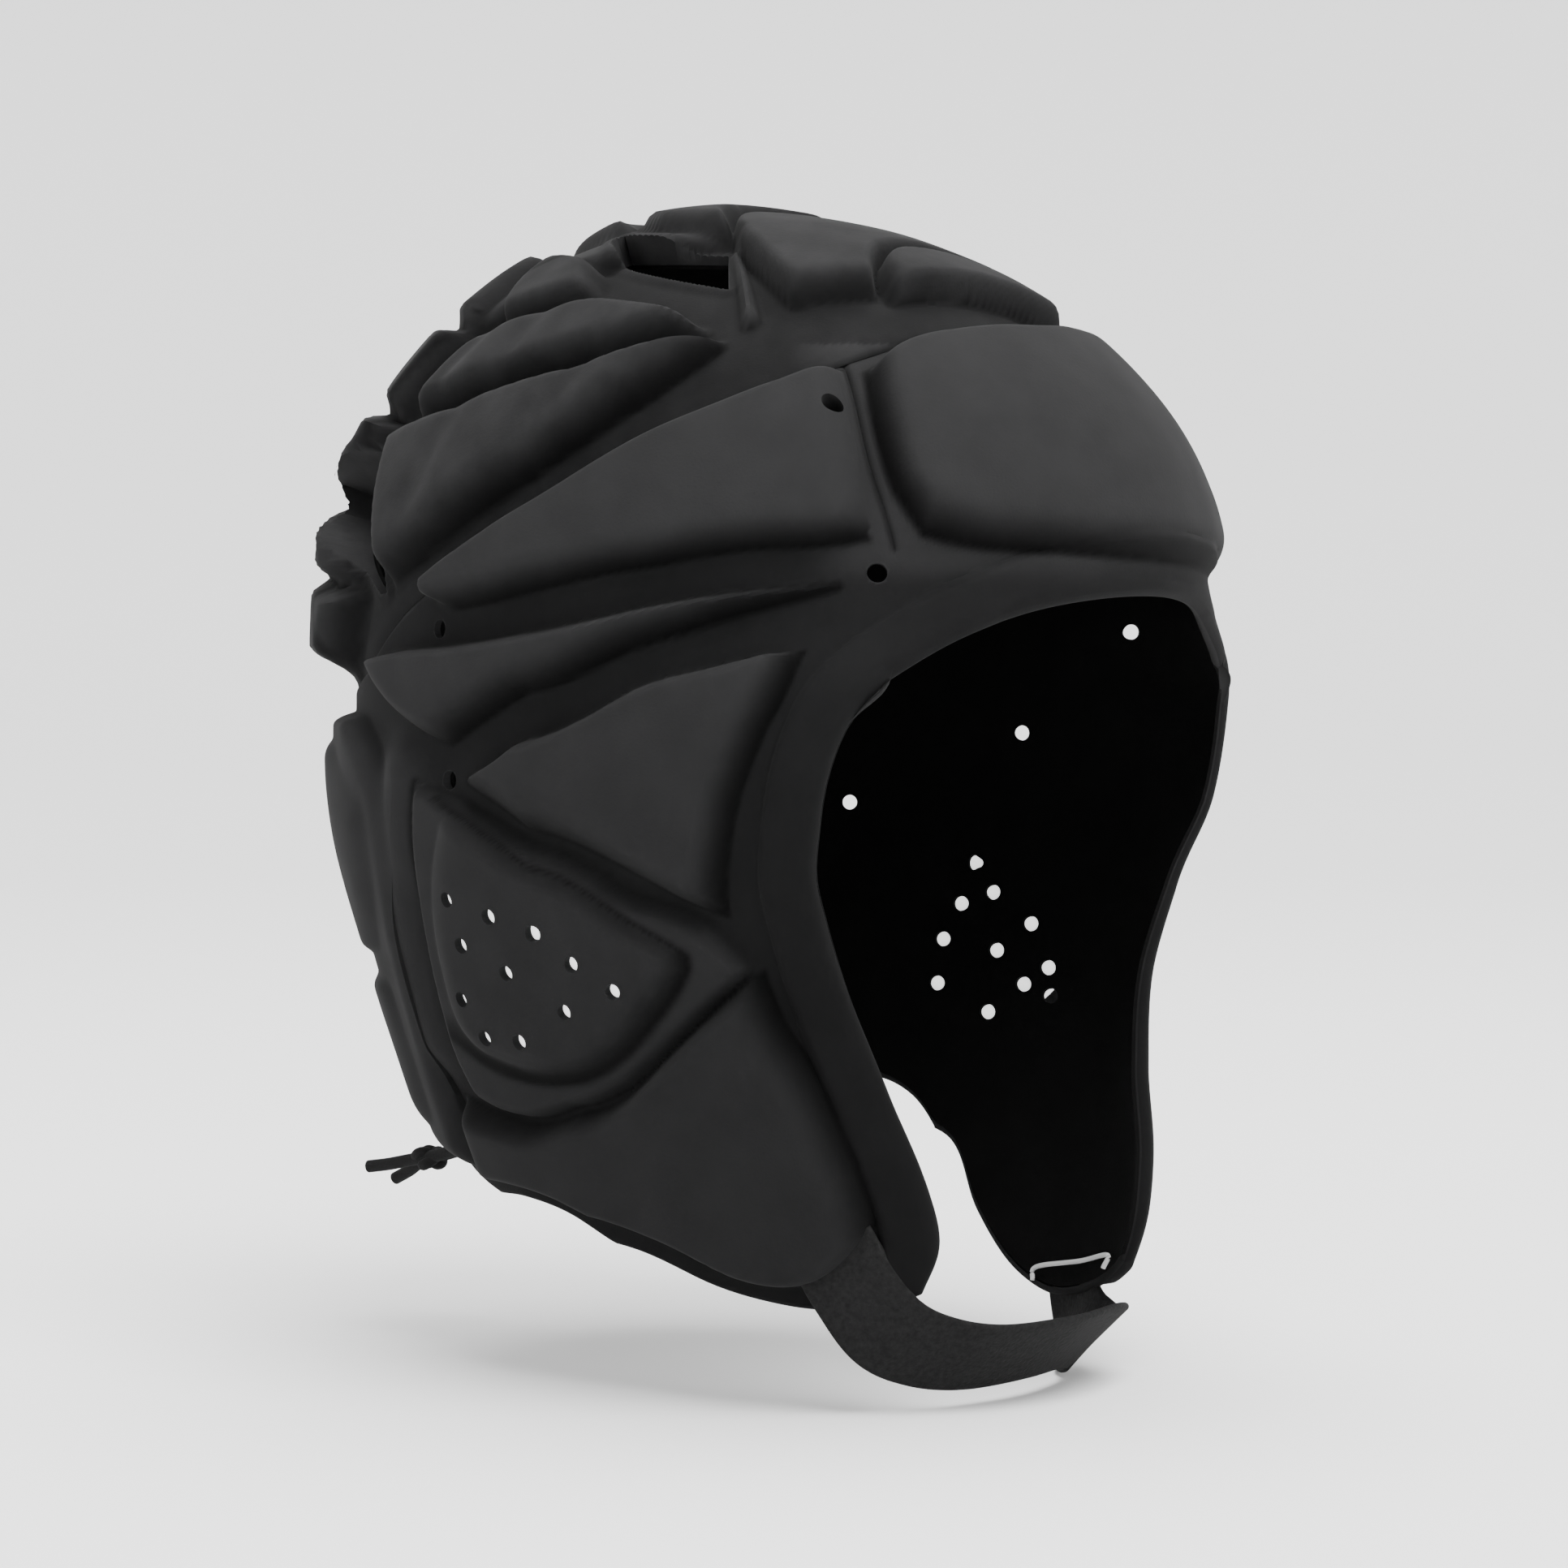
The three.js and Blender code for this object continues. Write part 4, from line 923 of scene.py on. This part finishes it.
def remap(tree: bpy.types.NodeTree, value: bpy.types.NodeSocket, source: Place, target: Place) -> bpy.types.NodeSocket:
    """Value carried from one range to another, held to its ends."""
    node = tree.nodes.new("ShaderNodeMapRange")
    for name, number in zip(("From Min", "From Max", "To Min", "To Max"), (*source, *target)):
        node.inputs[name].default_value = number
    tree.links.new(value, node.inputs["Value"])
    return node.outputs["Result"]


def cloth_material(finish: Finish) -> bpy.types.Material:
    """Procedural cloth in object coordinates: fine grain, soft mottling, a little sheen, painted shade in folds and
    towards the bottom, and a glowing emission as painted light where a finish asks for it.
    """
    material = bpy.data.materials.new(finish.slot)
    material.use_nodes = True
    tree = material.node_tree
    shader = tree.nodes["Principled BSDF"]
    shader.inputs["Roughness"].default_value = finish.roughness
    shader.inputs["Sheen Weight"].default_value = finish.sheen
    shader.inputs["Sheen Roughness"].default_value = 0.5
    shader.inputs["Specular IOR Level"].default_value = finish.shine
    shader.inputs["Base Color"].default_value = (*finish.colour, 1)
    place = add_node(tree, "ShaderNodeTexCoord")
    tone = None
    if finish.mottle:
        patches = add_node(tree, "ShaderNodeTexNoise", Scale=finish.mottle_scale, Detail=4.0, Roughness=0.6)
        tree.links.new(place.outputs["Object"], patches.inputs["Vector"])
        tone = remap(tree, patches.outputs["Fac"], (0.3, 0.7), (1 - finish.mottle, 1 + finish.mottle))
    # Painted shade: the cloth darkens where the attribute marks folds, grooves and low cloth
    if finish.fold_shade_depth:
        fold_shade = add_node(tree, "ShaderNodeAttribute", attribute_name="fold_shade")
        shade = remap(tree, fold_shade.outputs["Fac"], (0.0, 1.0), (1.0, 1 - finish.fold_shade_depth))
        both = add_node(tree, "ShaderNodeMath", operation="MULTIPLY")
        tree.links.new(tone, both.inputs[0])
        tree.links.new(shade, both.inputs[1])
        tone = both.outputs["Value"]
    # Painted shade: the cloth darkens towards the bottom, where less light falls
    if finish.low_shade < 1:
        parts = add_node(tree, "ShaderNodeSeparateXYZ")
        tree.links.new(place.outputs["Object"], parts.inputs["Vector"])
        shade = remap(tree, parts.outputs["Z"], LOW_SHADE_HEIGHTS, (finish.low_shade, 1.0))
        both = add_node(tree, "ShaderNodeMath", operation="MULTIPLY")
        tree.links.new(tone, both.inputs[0])
        tree.links.new(shade, both.inputs[1])
        tone = both.outputs["Value"]
    if tone:
        scale = add_node(tree, "ShaderNodeVectorMath", operation="SCALE")
        scale.inputs[0].default_value = finish.colour
        tree.links.new(tone, scale.inputs["Scale"])
        tree.links.new(scale.outputs["Vector"], shader.inputs["Base Color"])
    if finish.grain:
        grain = add_node(tree, "ShaderNodeTexNoise", Scale=finish.grain_scale, Detail=2.0)
        bump = add_node(tree, "ShaderNodeBump", Strength=finish.grain, Distance=0.0003)
        tree.links.new(place.outputs["Object"], grain.inputs["Vector"])
        tree.links.new(grain.outputs["Fac"], bump.inputs["Height"])
        tree.links.new(bump.outputs["Normal"], shader.inputs["Normal"])
    # Painted light: the surface glows though it is no lamp
    if finish.painted_glow:
        shader.inputs["Emission Color"].default_value = (1, 1, 1, 1)
        shader.inputs["Emission Strength"].default_value = finish.painted_glow
    return material


@dataclass
class Headgear:
    """The whole object: its materials, and the helpers that its sub-assemblies share."""

    materials: dict[str, bpy.types.Material] = field(default_factory=dict)

    def material(self, finish: Finish) -> bpy.types.Material:
        """Material of a finish, made once."""
        if finish.slot not in self.materials:
            self.materials[finish.slot] = cloth_material(finish)
        return self.materials[finish.slot]

    def dress(self, item: bpy.types.Object, finish: Finish, nodes: list[str]) -> bpy.types.Object:
        """Gives a piece its material, its body and the CAD nodes that it stands for."""
        # Walls of cut holes take the near-black lining colour: painted shade inside the holes
        if len(item.data.materials) > 1:
            item.data.materials[1] = self.material(LINING_AND_HOLE_SHADE)
            item.data.materials[0] = self.material(finish)
        else:
            item.data.materials.clear()
            item.data.materials.append(self.material(finish))
        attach(item, "root")
        if nodes:
            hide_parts(*nodes)
        log.info("%s: %d faces, %s", item.name, len(item.data.polygons), finish.slot)
        return item


@dataclass
class Panel:
    """One moulded panel: its outline as places, its relief, and which of its sides are free edges."""

    name: str
    lines: tuple[np.ndarray, np.ndarray, np.ndarray, np.ndarray]
    relief: Relief
    free: tuple[bool, bool, bool, bool]
    rims: list[np.ndarray]
    banded: list[np.ndarray]

    def away(self, places: np.ndarray, lines: list[np.ndarray]) -> np.ndarray:
        """Distance from each place to the nearest of some lines, in mm."""
        points = hollow_point(places[..., 0], places[..., 1]).reshape(-1, 3)
        best = np.full(len(points), 1e3)
        for line in lines:
            best = np.minimum(best, polyline_distance(points, hollow_point(line[:, 0], line[:, 1])))
        return best.reshape(places.shape[:-1])

    def grid(self, pitch: float, margin: float) -> np.ndarray:
        """Places of the panel at a pitch, with a margin left at its free edges, in mm."""
        top, bottom, start, end = self.lines
        width, height = max(run(top), run(bottom)), max(run(start), run(end))
        us = stations(width, pitch, self.free[2:], margin)
        vs = stations(height, pitch, self.free[:2], margin)
        return patch(top, bottom, start, end, us, vs)

    def cover(self) -> bpy.types.Object:
        """Padded cover: relief outside, against the lining inside, turned in at the free edges."""
        places = self.grid(GRID_PITCH, 0)
        rim = np.clip(self.away(places, self.rims) / RIM_ROUNDING, 0, 1)
        rounding = np.sqrt(1 - (1 - rim) ** 2)
        height, fold_shade = self.relief.measure(places)
        full = SHELL_WALL + height + face_band(self.away(places, self.banded))
        outer = SHELL_WALL / 2 + (full - SHELL_WALL / 2) * rounding
        inner = np.where(rim < 1, SHELL_WALL / 2 * (1 - rounding), COVER_BASE)
        inner = np.minimum(inner, outer - 0.02)
        around, down = places[..., 0], places[..., 1]
        return shell_mesh(
            f"{self.name}_cover", form_point(around, down, outer), form_point(around, down, inner), fold_shade=fold_shade)

    def lining(self) -> bpy.types.Object:
        """Thin cloth against the head, a little short of the free edges."""
        places = self.grid(LINING_PITCH, RIM_ROUNDING + 0.4)
        around, down = places[..., 0], places[..., 1]
        return shell_mesh(f"{self.name}_lining", form_point(around, down, LINING_WALL), form_point(around, down, 0.0))


def run(line: np.ndarray) -> float:
    """Length of a line of places on the hollow, in mm."""
    return float(np.linalg.norm(np.diff(hollow_point(line[:, 0], line[:, 1]), axis=0), axis=1).sum())


def face_band(away: np.ndarray) -> np.ndarray:
    """Low padded band that follows an edge, by the distance from that edge."""
    inner = np.clip(away / 4, 0, 1)
    outer = np.clip((BAND_WIDTH - away) / 2.2, 0, 1)
    return BAND_HEIGHT * (1 - (1 - inner) ** 2) * (1 - (1 - outer) ** 2)


def side_lines(side: Side) -> tuple[np.ndarray, ...]:
    """Top, bottom, rear and front line of a side panel."""
    bottom = BOTTOM_EDGE[side]
    top = tuple(row for row in reversed(CROWN_SEAM) if TEMPLE_SEAM[0][0] <= row[0] <= NAPE_SEAM[0][0])
    rows = (top, bottom[::-1], (*NAPE_SEAM, bottom[-1]), (*TEMPLE_SEAM, *FACE_EDGE[1:], bottom[0]))
    return tuple(smooth_line(turned(line, side), 400) for line in rows)


def opening_lines() -> list[np.ndarray]:
    """Free edge round the face: the brow, and the front edge of both side panels."""
    brow = (*BROW_EDGE, *turned(BROW_EDGE[-2::-1], Side.LEFT))
    faces = [turned((*FACE_EDGE, BOTTOM_EDGE[side][0]), side) for side in Side]
    return [smooth_line(line, 160) for line in (brow, *faces)]


def nape_seams() -> list[np.ndarray]:
    """Lower parts of the seams at both sides of the nape."""
    return [smooth_line(turned(NAPE_SEAM[2:], side), 60) for side in Side]


def behind(rows: Line) -> Line:
    """The same places on the wearer's left, counted on past the middle of the nape."""
    return tuple((360 - around, down) for around, down in rows)


@dataclass
class Crown:
    """Crown cover with its strip of blocks, side pads and slots, and the lining under it."""

    gear: Headgear
    spokes: int = 440
    rings: int = 104

    def places(self, spokes: int, rings: int) -> np.ndarray:
        """Places on spokes from the top out to the seam."""
        right = smooth_line(CROWN_SEAM, spokes // 2 + 1)
        seam = np.vstack([right, right[-2:0:-1] * [-1, 1]])
        share = np.linspace(0.006, 1, rings)
        return np.stack([np.repeat(seam[:, :1], rings, axis=1), seam[:, 1:] * share], axis=-1)

    def slots(self) -> list[np.ndarray]:
        """Outlines of the open slots on both sides."""
        return [
            np.vstack([line[:-1] for line in swollen_sides(row)]) * [side.value, 1]
            for side in Side for row in CROWN_SLOTS]

    def build(self) -> None:
        """Builds the cover and the lining, cut at the slots."""
        pads = [Pad.from_block(row) for row in (*STRIP_BASES, *STRIP_BLOCKS)]
        pads += [Pad.from_quad(row, side) for side in Side for row in (*CROWN_PADS, CROWN_RIB)]
        seam = smooth_line(CROWN_SEAM, 160)
        relief = Relief(pads, [seam, seam * [-1, 1]], CROWN_CREASES)
        slots = self.slots()
        places = self.places(self.spokes, self.rings)
        around, down = places[..., 0], places[..., 1]
        height, fold_shade = relief.measure(places)
        height += SHELL_WALL + self.rim(places, slots)
        cover = shell_mesh(
            "crown_cover", form_point(around, down, height), form_point(around, down, COVER_BASE), True, fold_shade)
        cut(cover, [prism(slot, -2.0, 14.0) for slot in slots])
        smooth(cover)
        nodes = [f"crown_block_{i}" for i in range(1, len(STRIP_BLOCKS) + 1)]
        nodes += [f"crown_{part}_{side.label}" for part in ("pad_low", "pad_mid", "pad_top", "rib") for side in Side]
        self.gear.dress(cover, CROWN, nodes)
        places = self.places(120, 36)
        around, down = places[..., 0], places[..., 1]
        lining = shell_mesh(
            "crown_inner_cloth", form_point(around, down, LINING_WALL), form_point(around, down, 0.0), True)
        cut(lining, [prism(slot, -2.0, 3.0) for slot in slots])
        smooth(lining)
        self.gear.dress(lining, LINING_AND_HOLE_SHADE, ["crown_lining"])

    def rim(self, places: np.ndarray, slots: list[np.ndarray]) -> np.ndarray:
        """Low turned rim round each slot."""
        points = hollow_point(places[..., 0], places[..., 1]).reshape(-1, 3)
        raise_by = np.zeros(len(points))
        for slot in slots:
            line = np.vstack([slot, slot[:1]])
            away = polyline_distance(points, hollow_point(line[:, 0], line[:, 1]))
            raise_by = np.maximum(raise_by, 0.8 * np.exp(-((away - 1.0) / 1.1) ** 2))
        return raise_by.reshape(places.shape[:-1])


@dataclass
class Panels:
    """Forehead, nape and both side panels."""

    gear: Headgear

    def build(self) -> None:
        """Builds every panel."""
        self.build_forehead()
        self.build_nape()
        for side in Side:
            self.build_side(side)

    def finish(self, panel: Panel, pads: list[str], node: str,
               holes: list[tuple[np.ndarray, np.ndarray | None]]) -> None:
        """Makes a panel's cover and lining, and cuts its holes."""
        cover, lining = panel.cover(), panel.lining()
        for item, high in ((cover, 20.0), (lining, 3.0)):
            if holes:
                cut(item, [prism(outline, -3.0, high, lean) for outline, lean in holes])
            smooth(item)
        self.gear.dress(cover, OUTER, pads)
        self.gear.dress(lining, LINING_AND_HOLE_SHADE, [node])

    def build_forehead(self) -> None:
        """Forehead panel, from the crown seam down to the brow."""
        across = lambda rows: (*turned(rows, Side.LEFT), *rows[-2::-1])
        top = tuple(row for row in reversed(CROWN_SEAM) if row[0] <= TEMPLE_SEAM[0][0])
        rows = (across(top), across(BROW_EDGE), turned(TEMPLE_SEAM, Side.LEFT), TEMPLE_SEAM)
        lines = tuple(smooth_line(line, 300) for line in rows)
        temples = [smooth_line(turned(TEMPLE_SEAM[:3], side), 60) for side in Side]
        relief = Relief([Pad.from_row(FOREHEAD_PAD)], [lines[0], *temples])
        panel = Panel("forehead", lines, relief, (False, True, False, False), [lines[1]], opening_lines())
        self.finish(panel, ["forehead_pad"], "forehead_panel", [])

    def build_nape(self) -> None:
        """Nape panel, from the crown seam down to the neck."""
        top = tuple(row for row in CROWN_SEAM if row[0] >= NAPE_SEAM[0][0])
        right = (*NAPE_SEAM, BOTTOM_EDGE[Side.RIGHT][-1])
        left = behind((*NAPE_SEAM, BOTTOM_EDGE[Side.LEFT][-1]))
        rows = ((*top, *behind(top[-2::-1])), (right[-1], *NAPE_BOTTOM, left[-1]), right, left)
        lines = tuple(smooth_line(line, 300) for line in rows)
        relief = Relief([Pad.from_row(row) for row in NAPE_PADS], [lines[0]], swells=nape_seams())
        panel = Panel("nape", lines, relief, (False, True, False, False), [lines[1]], [])
        self.finish(panel, ["nape_pad_upper", "nape_pad_lower"], "nape_panel", [])

    def build_side(self, side: Side) -> None:
        """Side panel with its pads, vents and perforated ear."""
        face = smooth_line(turned((*FACE_EDGE, BOTTOM_EDGE[side][0]), side), 160)
        bottom = smooth_line(turned(BOTTOM_EDGE[side], side), 160)
        lines = side_lines(side)
        temple = smooth_line(turned(TEMPLE_SEAM[:3], side), 60)
        shapes = FAR_SIDE_LINES if side is Side.LEFT else {}
        pads = [Pad.from_row(row._replace(**shapes.get(row.name, {})), side) for row in SIDE_PADS]
        relief = Relief(pads, [lines[0], temple], swells=nape_seams())
        panel = Panel(f"side_{side.label}", lines, relief, (False, True, False, False), [face, bottom], opening_lines())
        names = [f"{name}_pad_{side.label}" for name in ("temple", "wing", "cheek", "jaw", "ear")]
        self.finish(panel, names, f"side_panel_{side.label}", self.holes(side))
        self.build_mesh(side, relief)

    def holes(self, side: Side) -> list[tuple[np.ndarray, np.ndarray | None]]:
        """Outline and direction of every hole of a side; the left ones are round to a viewer at the right."""
        made = []
        for around, down in VENTS[side]:
            place = (side.value * around, down)
            if side is Side.LEFT and down > 1:
                lean = -VIEW_WAY / -float(VIEW_WAY @ outward(*place))
                made.append((sight_outline(place, SIGHT_DIAMETER), lean))
            else:
                made.append((round_outline(place, VENT_DIAMETER), None))
        for around, down in EAR_HOLES[side]:
            place = (side.value * around, down)
            outline = sight_outline(place, SIGHT_DIAMETER) if side is Side.LEFT else round_outline(
                place, EAR_HOLE_DIAMETER)
            made.append((outline, None))
        return made

    def build_mesh(self, side: Side, relief: Relief) -> None:
        """Pale open mesh in the ear, glowing as painted light: one layer just under the face of the pad, one against
        the lining.
        """
        ear = next(row for row in SIDE_PADS if row.name == "ear")
        rows = (ear.top, ear.bottom[::-1], ear.rear[::-1], ear.front)
        lines = [smooth_line(turned(line, side), 60) for line in rows]
        share = np.linspace(0.06, 0.94, 60)
        places = patch(*lines, share, share)
        around, down = places[..., 0], places[..., 1]
        face = SHELL_WALL + relief.measure(places)[0] - MESH_DEPTH
        middle = places.mean(axis=(0, 1))
        for layer, top in (("weave", face), ("backing", np.full(face.shape, COVER_BASE - 0.03))):
            if layer == "backing":
                around, down = np.moveaxis(middle + (places - middle) * MESH_SPREAD, -1, 0)
            mesh = shell_mesh(
                f"ear_mesh_{side.label}_{layer}", form_point(around, down, top), form_point(around, down, top - 0.1))
            smooth(mesh)
            self.gear.dress(mesh, PALE_MESH_AND_GLOW, [f"ear_mesh_{side.label}"])


class StrapRow(NamedTuple):
    """Middle of the strap: a place, its height outside the hollow, and how far its face leans down."""

    around: float
    down: float
    off: float
    lean: float


STRAP_LINE: tuple[StrapRow, ...] = (
    StrapRow(55.5, 1.868, 4.3, 0.0),
    StrapRow(51.5, 1.93, 4.3, 0.0),
    StrapRow(45, 1.99, 4.3, 0.15),
    StrapRow(35, 2.03, 1.25, 0.5),
    StrapRow(18, 2.048, 0.0, 0.8),
    StrapRow(0, 2.048, 0.0, 0.9),
    StrapRow(-18, 2.052, -1.25, 0.9),
    StrapRow(-32, 2.06, 0.0, 1.0),
    StrapRow(-42, 2.07, 0.6, 0.9),
    StrapRow(-50, 2.06, 1.6, 0.4),
    StrapRow(-57.5, 2.03, 3.4, 0.1),
    StrapRow(-62.5, 1.985, 4.3, 0.0),
    StrapRow(-64.5, 1.93, 4.3, 0.0),
)
STITCH_PLACES: dict[Side, Place] = {Side.RIGHT: (54, 1.90), Side.LEFT: (55, 1.97)}
CORD_PATHS: dict[Side, tuple[tuple[float, float, float], ...]] = {
    Side.RIGHT: (
        (-1.7, 75.4, -201.6), (-1.9, 84, -203.4), (-1.9, 94, -206.6), (-1.7, 103.1, -209.4),
        (-1.9, 111.8, -211.2), (-3.2, 118, -212.6), (-4, 124, -213.6)),
    Side.LEFT: (
        (1.7, 75.4, -201.2), (1.9, 84, -203.2), (1.9, 94, -206.6), (1.7, 103.1, -209.4),
        (1.9, 111.6, -211.8), (2.8, 117, -214.6), (3, 122, -217)),
}
KNOT_CENTRE = (0.0, 107.6, -210.6)


def spline(rows: np.ndarray, count: int) -> np.ndarray:
    """Even stations along a smooth curve through rows of numbers, measured on the first three."""
    rows = np.vstack([2 * rows[0] - rows[1], rows, 2 * rows[-1] - rows[-2]])
    fine = []
    for i in range(1, len(rows) - 2):
        t = np.linspace(0, 1, 30, endpoint=i == len(rows) - 3)[:, None]
        a, b, c, d = rows[i - 1:i + 3]
        fine.append(b + 0.5 * t * (c - a + t * (2 * a - 5 * b + 4 * c - d + t * (3 * (b - c) + d - a))))
    curve = np.vstack(fine)
    length = np.concatenate([[0], np.cumsum(np.linalg.norm(np.diff(curve[:, :3], axis=0), axis=1))])
    even = np.linspace(0, length[-1], count)
    return np.stack([np.interp(even, length, column) for column in curve.T], axis=1)


def unit(vectors: np.ndarray) -> np.ndarray:
    """Vectors of length one."""
    return vectors / np.linalg.norm(vectors, axis=-1, keepdims=True)


def round_tube(name: str, path: np.ndarray, diameter: float, sides: int = 14) -> bpy.types.Object:
    """Round tube along a path of points in mm."""
    tangent = unit(np.gradient(path, axis=0))
    across = unit(np.cross(tangent, np.array([0.31, 0.17, 0.94])))
    angle = np.linspace(0, 2 * math.pi, sides, endpoint=False)
    section = np.stack([np.cos(angle), np.sin(angle)], axis=1) * diameter / 2
    return tube_mesh(name, path, across, np.cross(across, tangent), section)


@dataclass
class ChinStrap:
    """Webbing strap from flap to flap, with a run of stitching inside each flap."""

    gear: Headgear

    def build(self) -> None:
        """Builds the strap and the stitching."""
        rows = np.array([
            [*form_point(row.around, row.down, row.off), *(outward(row.around, row.down)[:2]), -row.lean]
            for row in STRAP_LINE])
        line = spline(rows, 220)
        along = unit(np.gradient(line[:, :3], axis=0))
        across = unit(np.cross(along, line[:, 3:]))
        half, edge = STRAP_THICKNESS / 2, STRAP_WIDTH / 2
        bend = np.linspace(math.pi / 2, -math.pi / 2, 7)
        cap = np.stack([edge - half + half * np.cos(bend), half * np.sin(bend)], axis=1)
        flat = np.stack([np.linspace(-edge + half, edge - half, 13)[1:-1], np.full(11, half)], axis=1)
        section = np.vstack([flat, cap, -flat, -cap])
        strap = tube_mesh("strap_webbing", line[:, :3], across, np.cross(across, along), section)
        smooth(strap)
        self.gear.dress(strap, WEB, ["chin_strap"])
        for side in Side:
            self.build_stitch(side)

    def build_stitch(self, side: Side) -> None:
        """Run of pale thread inside a flap, hooked at both ends."""
        around, down = STITCH_PLACES[side]
        reach, hook, off = STITCH_LENGTH / 2, 2.5 * STITCH_DIAMETER, -1.0 - STITCH_DIAMETER / 2
        points = []
        for along, drop in ((-reach, hook), (-reach, 0), (0, 0), (reach, 0), (reach, hook)):
            place = (around - along / MM_PER_DEGREE * 1.5, down + (drop - along * 0.2) / MM_PER_SHARE)
            points.append(form_point(side.value * place[0], place[1], off))
        thread = round_tube(f"stitch_{side.label}_thread", spline(np.array(points), 70), STITCH_DIAMETER, 10)
        smooth(thread)
        self.gear.dress(thread, THREAD, [f"strap_stitch_{side.label}"])


@dataclass
class Drawcord:
    """Two strands that leave the nape, one knot round both, and their cut ends."""

    gear: Headgear

    def build(self) -> None:
        """Builds the knot and the strands."""
        turn = np.linspace(0, 2 * math.pi, 140)
        wide = 2.3 + 1.15 * np.cos(3 * turn)
        loop = np.stack([wide * np.cos(2 * turn), wide * np.sin(2 * turn) * 0.9, 1.5 * np.sin(3 * turn)], axis=1)
        knot = round_tube("knot_cord", loop + KNOT_CENTRE, CORD_DIAMETER * 0.9)
        smooth(knot)
        self.gear.dress(knot, CORD, ["drawcord_knot"])
        for side, rows in CORD_PATHS.items():
            path = spline(np.array(rows), 60)
            cord = round_tube(f"drawcord_{side.label}_strand", path, CORD_DIAMETER)
            smooth(cord)
            self.gear.dress(cord, CORD, [f"drawcord_{side.label}", f"drawcord_end_{side.label}"])


@dataclass(frozen=True)
class Stage:
    """Pale floor that curves up into a backdrop, soft lights and the camera."""

    floor_height: float = -0.2488
    floor_tone: float = 0.87
    world_strength: float = 1.04
    key_power: float = 94.0
    camera_distance: float = 1.2
    lens: float = 123.0

    def build(self) -> None:
        """Builds the stage."""
        self.build_floor()
        self.build_lights()
        self.build_camera()

    def build_floor(self) -> None:
        """Flat round floor with a rising edge."""
        radius = np.array([0.01, 0.4, 0.8, 1.2, 1.6, 2.0, 2.4, 2.8, 3.1, 3.3, 3.4])
        rise = np.array([0, 0, 0, 0, 0, 0.05, 0.22, 0.6, 1.2, 2.2, 3.6])
        angle = np.linspace(0, 2 * math.pi, 96, endpoint=False)[:, None]
        points = np.stack(np.broadcast_arrays(
            radius * np.cos(angle), radius * np.sin(angle), rise + self.floor_height), axis=-1) / MM
        below = points - np.array([0, 0, 20.0])
        floor = shell_mesh("floor", points, below, True)
        smooth(floor, 80)
        material = bpy.data.materials.new("floor_paper")
        material.use_nodes = True
        shader = material.node_tree.nodes["Principled BSDF"]
        shader.inputs["Base Color"].default_value = (self.floor_tone,) * 3 + (1,)
        shader.inputs["Roughness"].default_value = 0.9
        shader.inputs["Specular IOR Level"].default_value = 0.1
        floor.data.materials.append(material)

    def build_lights(self) -> None:
        """Large soft key above the front right of the view, and an even surround."""
        scene = bpy.context.scene
        world = bpy.data.worlds.new("surround")
        world.use_nodes = True
        world.node_tree.nodes["Background"].inputs["Color"].default_value = (1, 1, 1, 1)
        world.node_tree.nodes["Background"].inputs["Strength"].default_value = self.world_strength
        scene.world = world
        for name, place, size, power in (
                ("key", (-0.5, -1.1, 1.9), 1.6, self.key_power), ("top", (0.4, 0.3, 2.1), 2.0, self.key_power * 0.7)):
            lamp = bpy.data.lights.new(name, "AREA")
            lamp.shape, lamp.size, lamp.energy = "DISK", size, power
            item = bpy.data.objects.new(name, lamp)
            item.location = place
            aim = Vector((0, 0, -0.12)) - Vector(place)
            item.rotation_euler = aim.to_track_quat("-Z", "Y").to_euler()
            scene.collection.objects.link(item)

    def build_camera(self) -> None:
        """Camera at the photograph's angle."""
        camera = bpy.data.cameras.new("camera")
        camera.sensor_width, camera.lens, camera.shift_x = 36.0, self.lens, 0.0047
        item = bpy.data.objects.new("camera", camera)
        target = Vector((0, 0, -0.118))
        back = Vector(VIEW_WAY)
        item.location = target + back * self.camera_distance
        item.rotation_euler = (-back).to_track_quat("-Z", "Y").to_euler()
        bpy.context.scene.collection.objects.link(item)
        bpy.context.scene.camera = item


def main() -> None:
    """Builds the headgear and its stage."""
    gear = Headgear()
    Panels(gear).build()
    Crown(gear).build()
    ChinStrap(gear).build()
    Drawcord(gear).build()
    Stage().build()


if __name__ == "__main__":
    main()
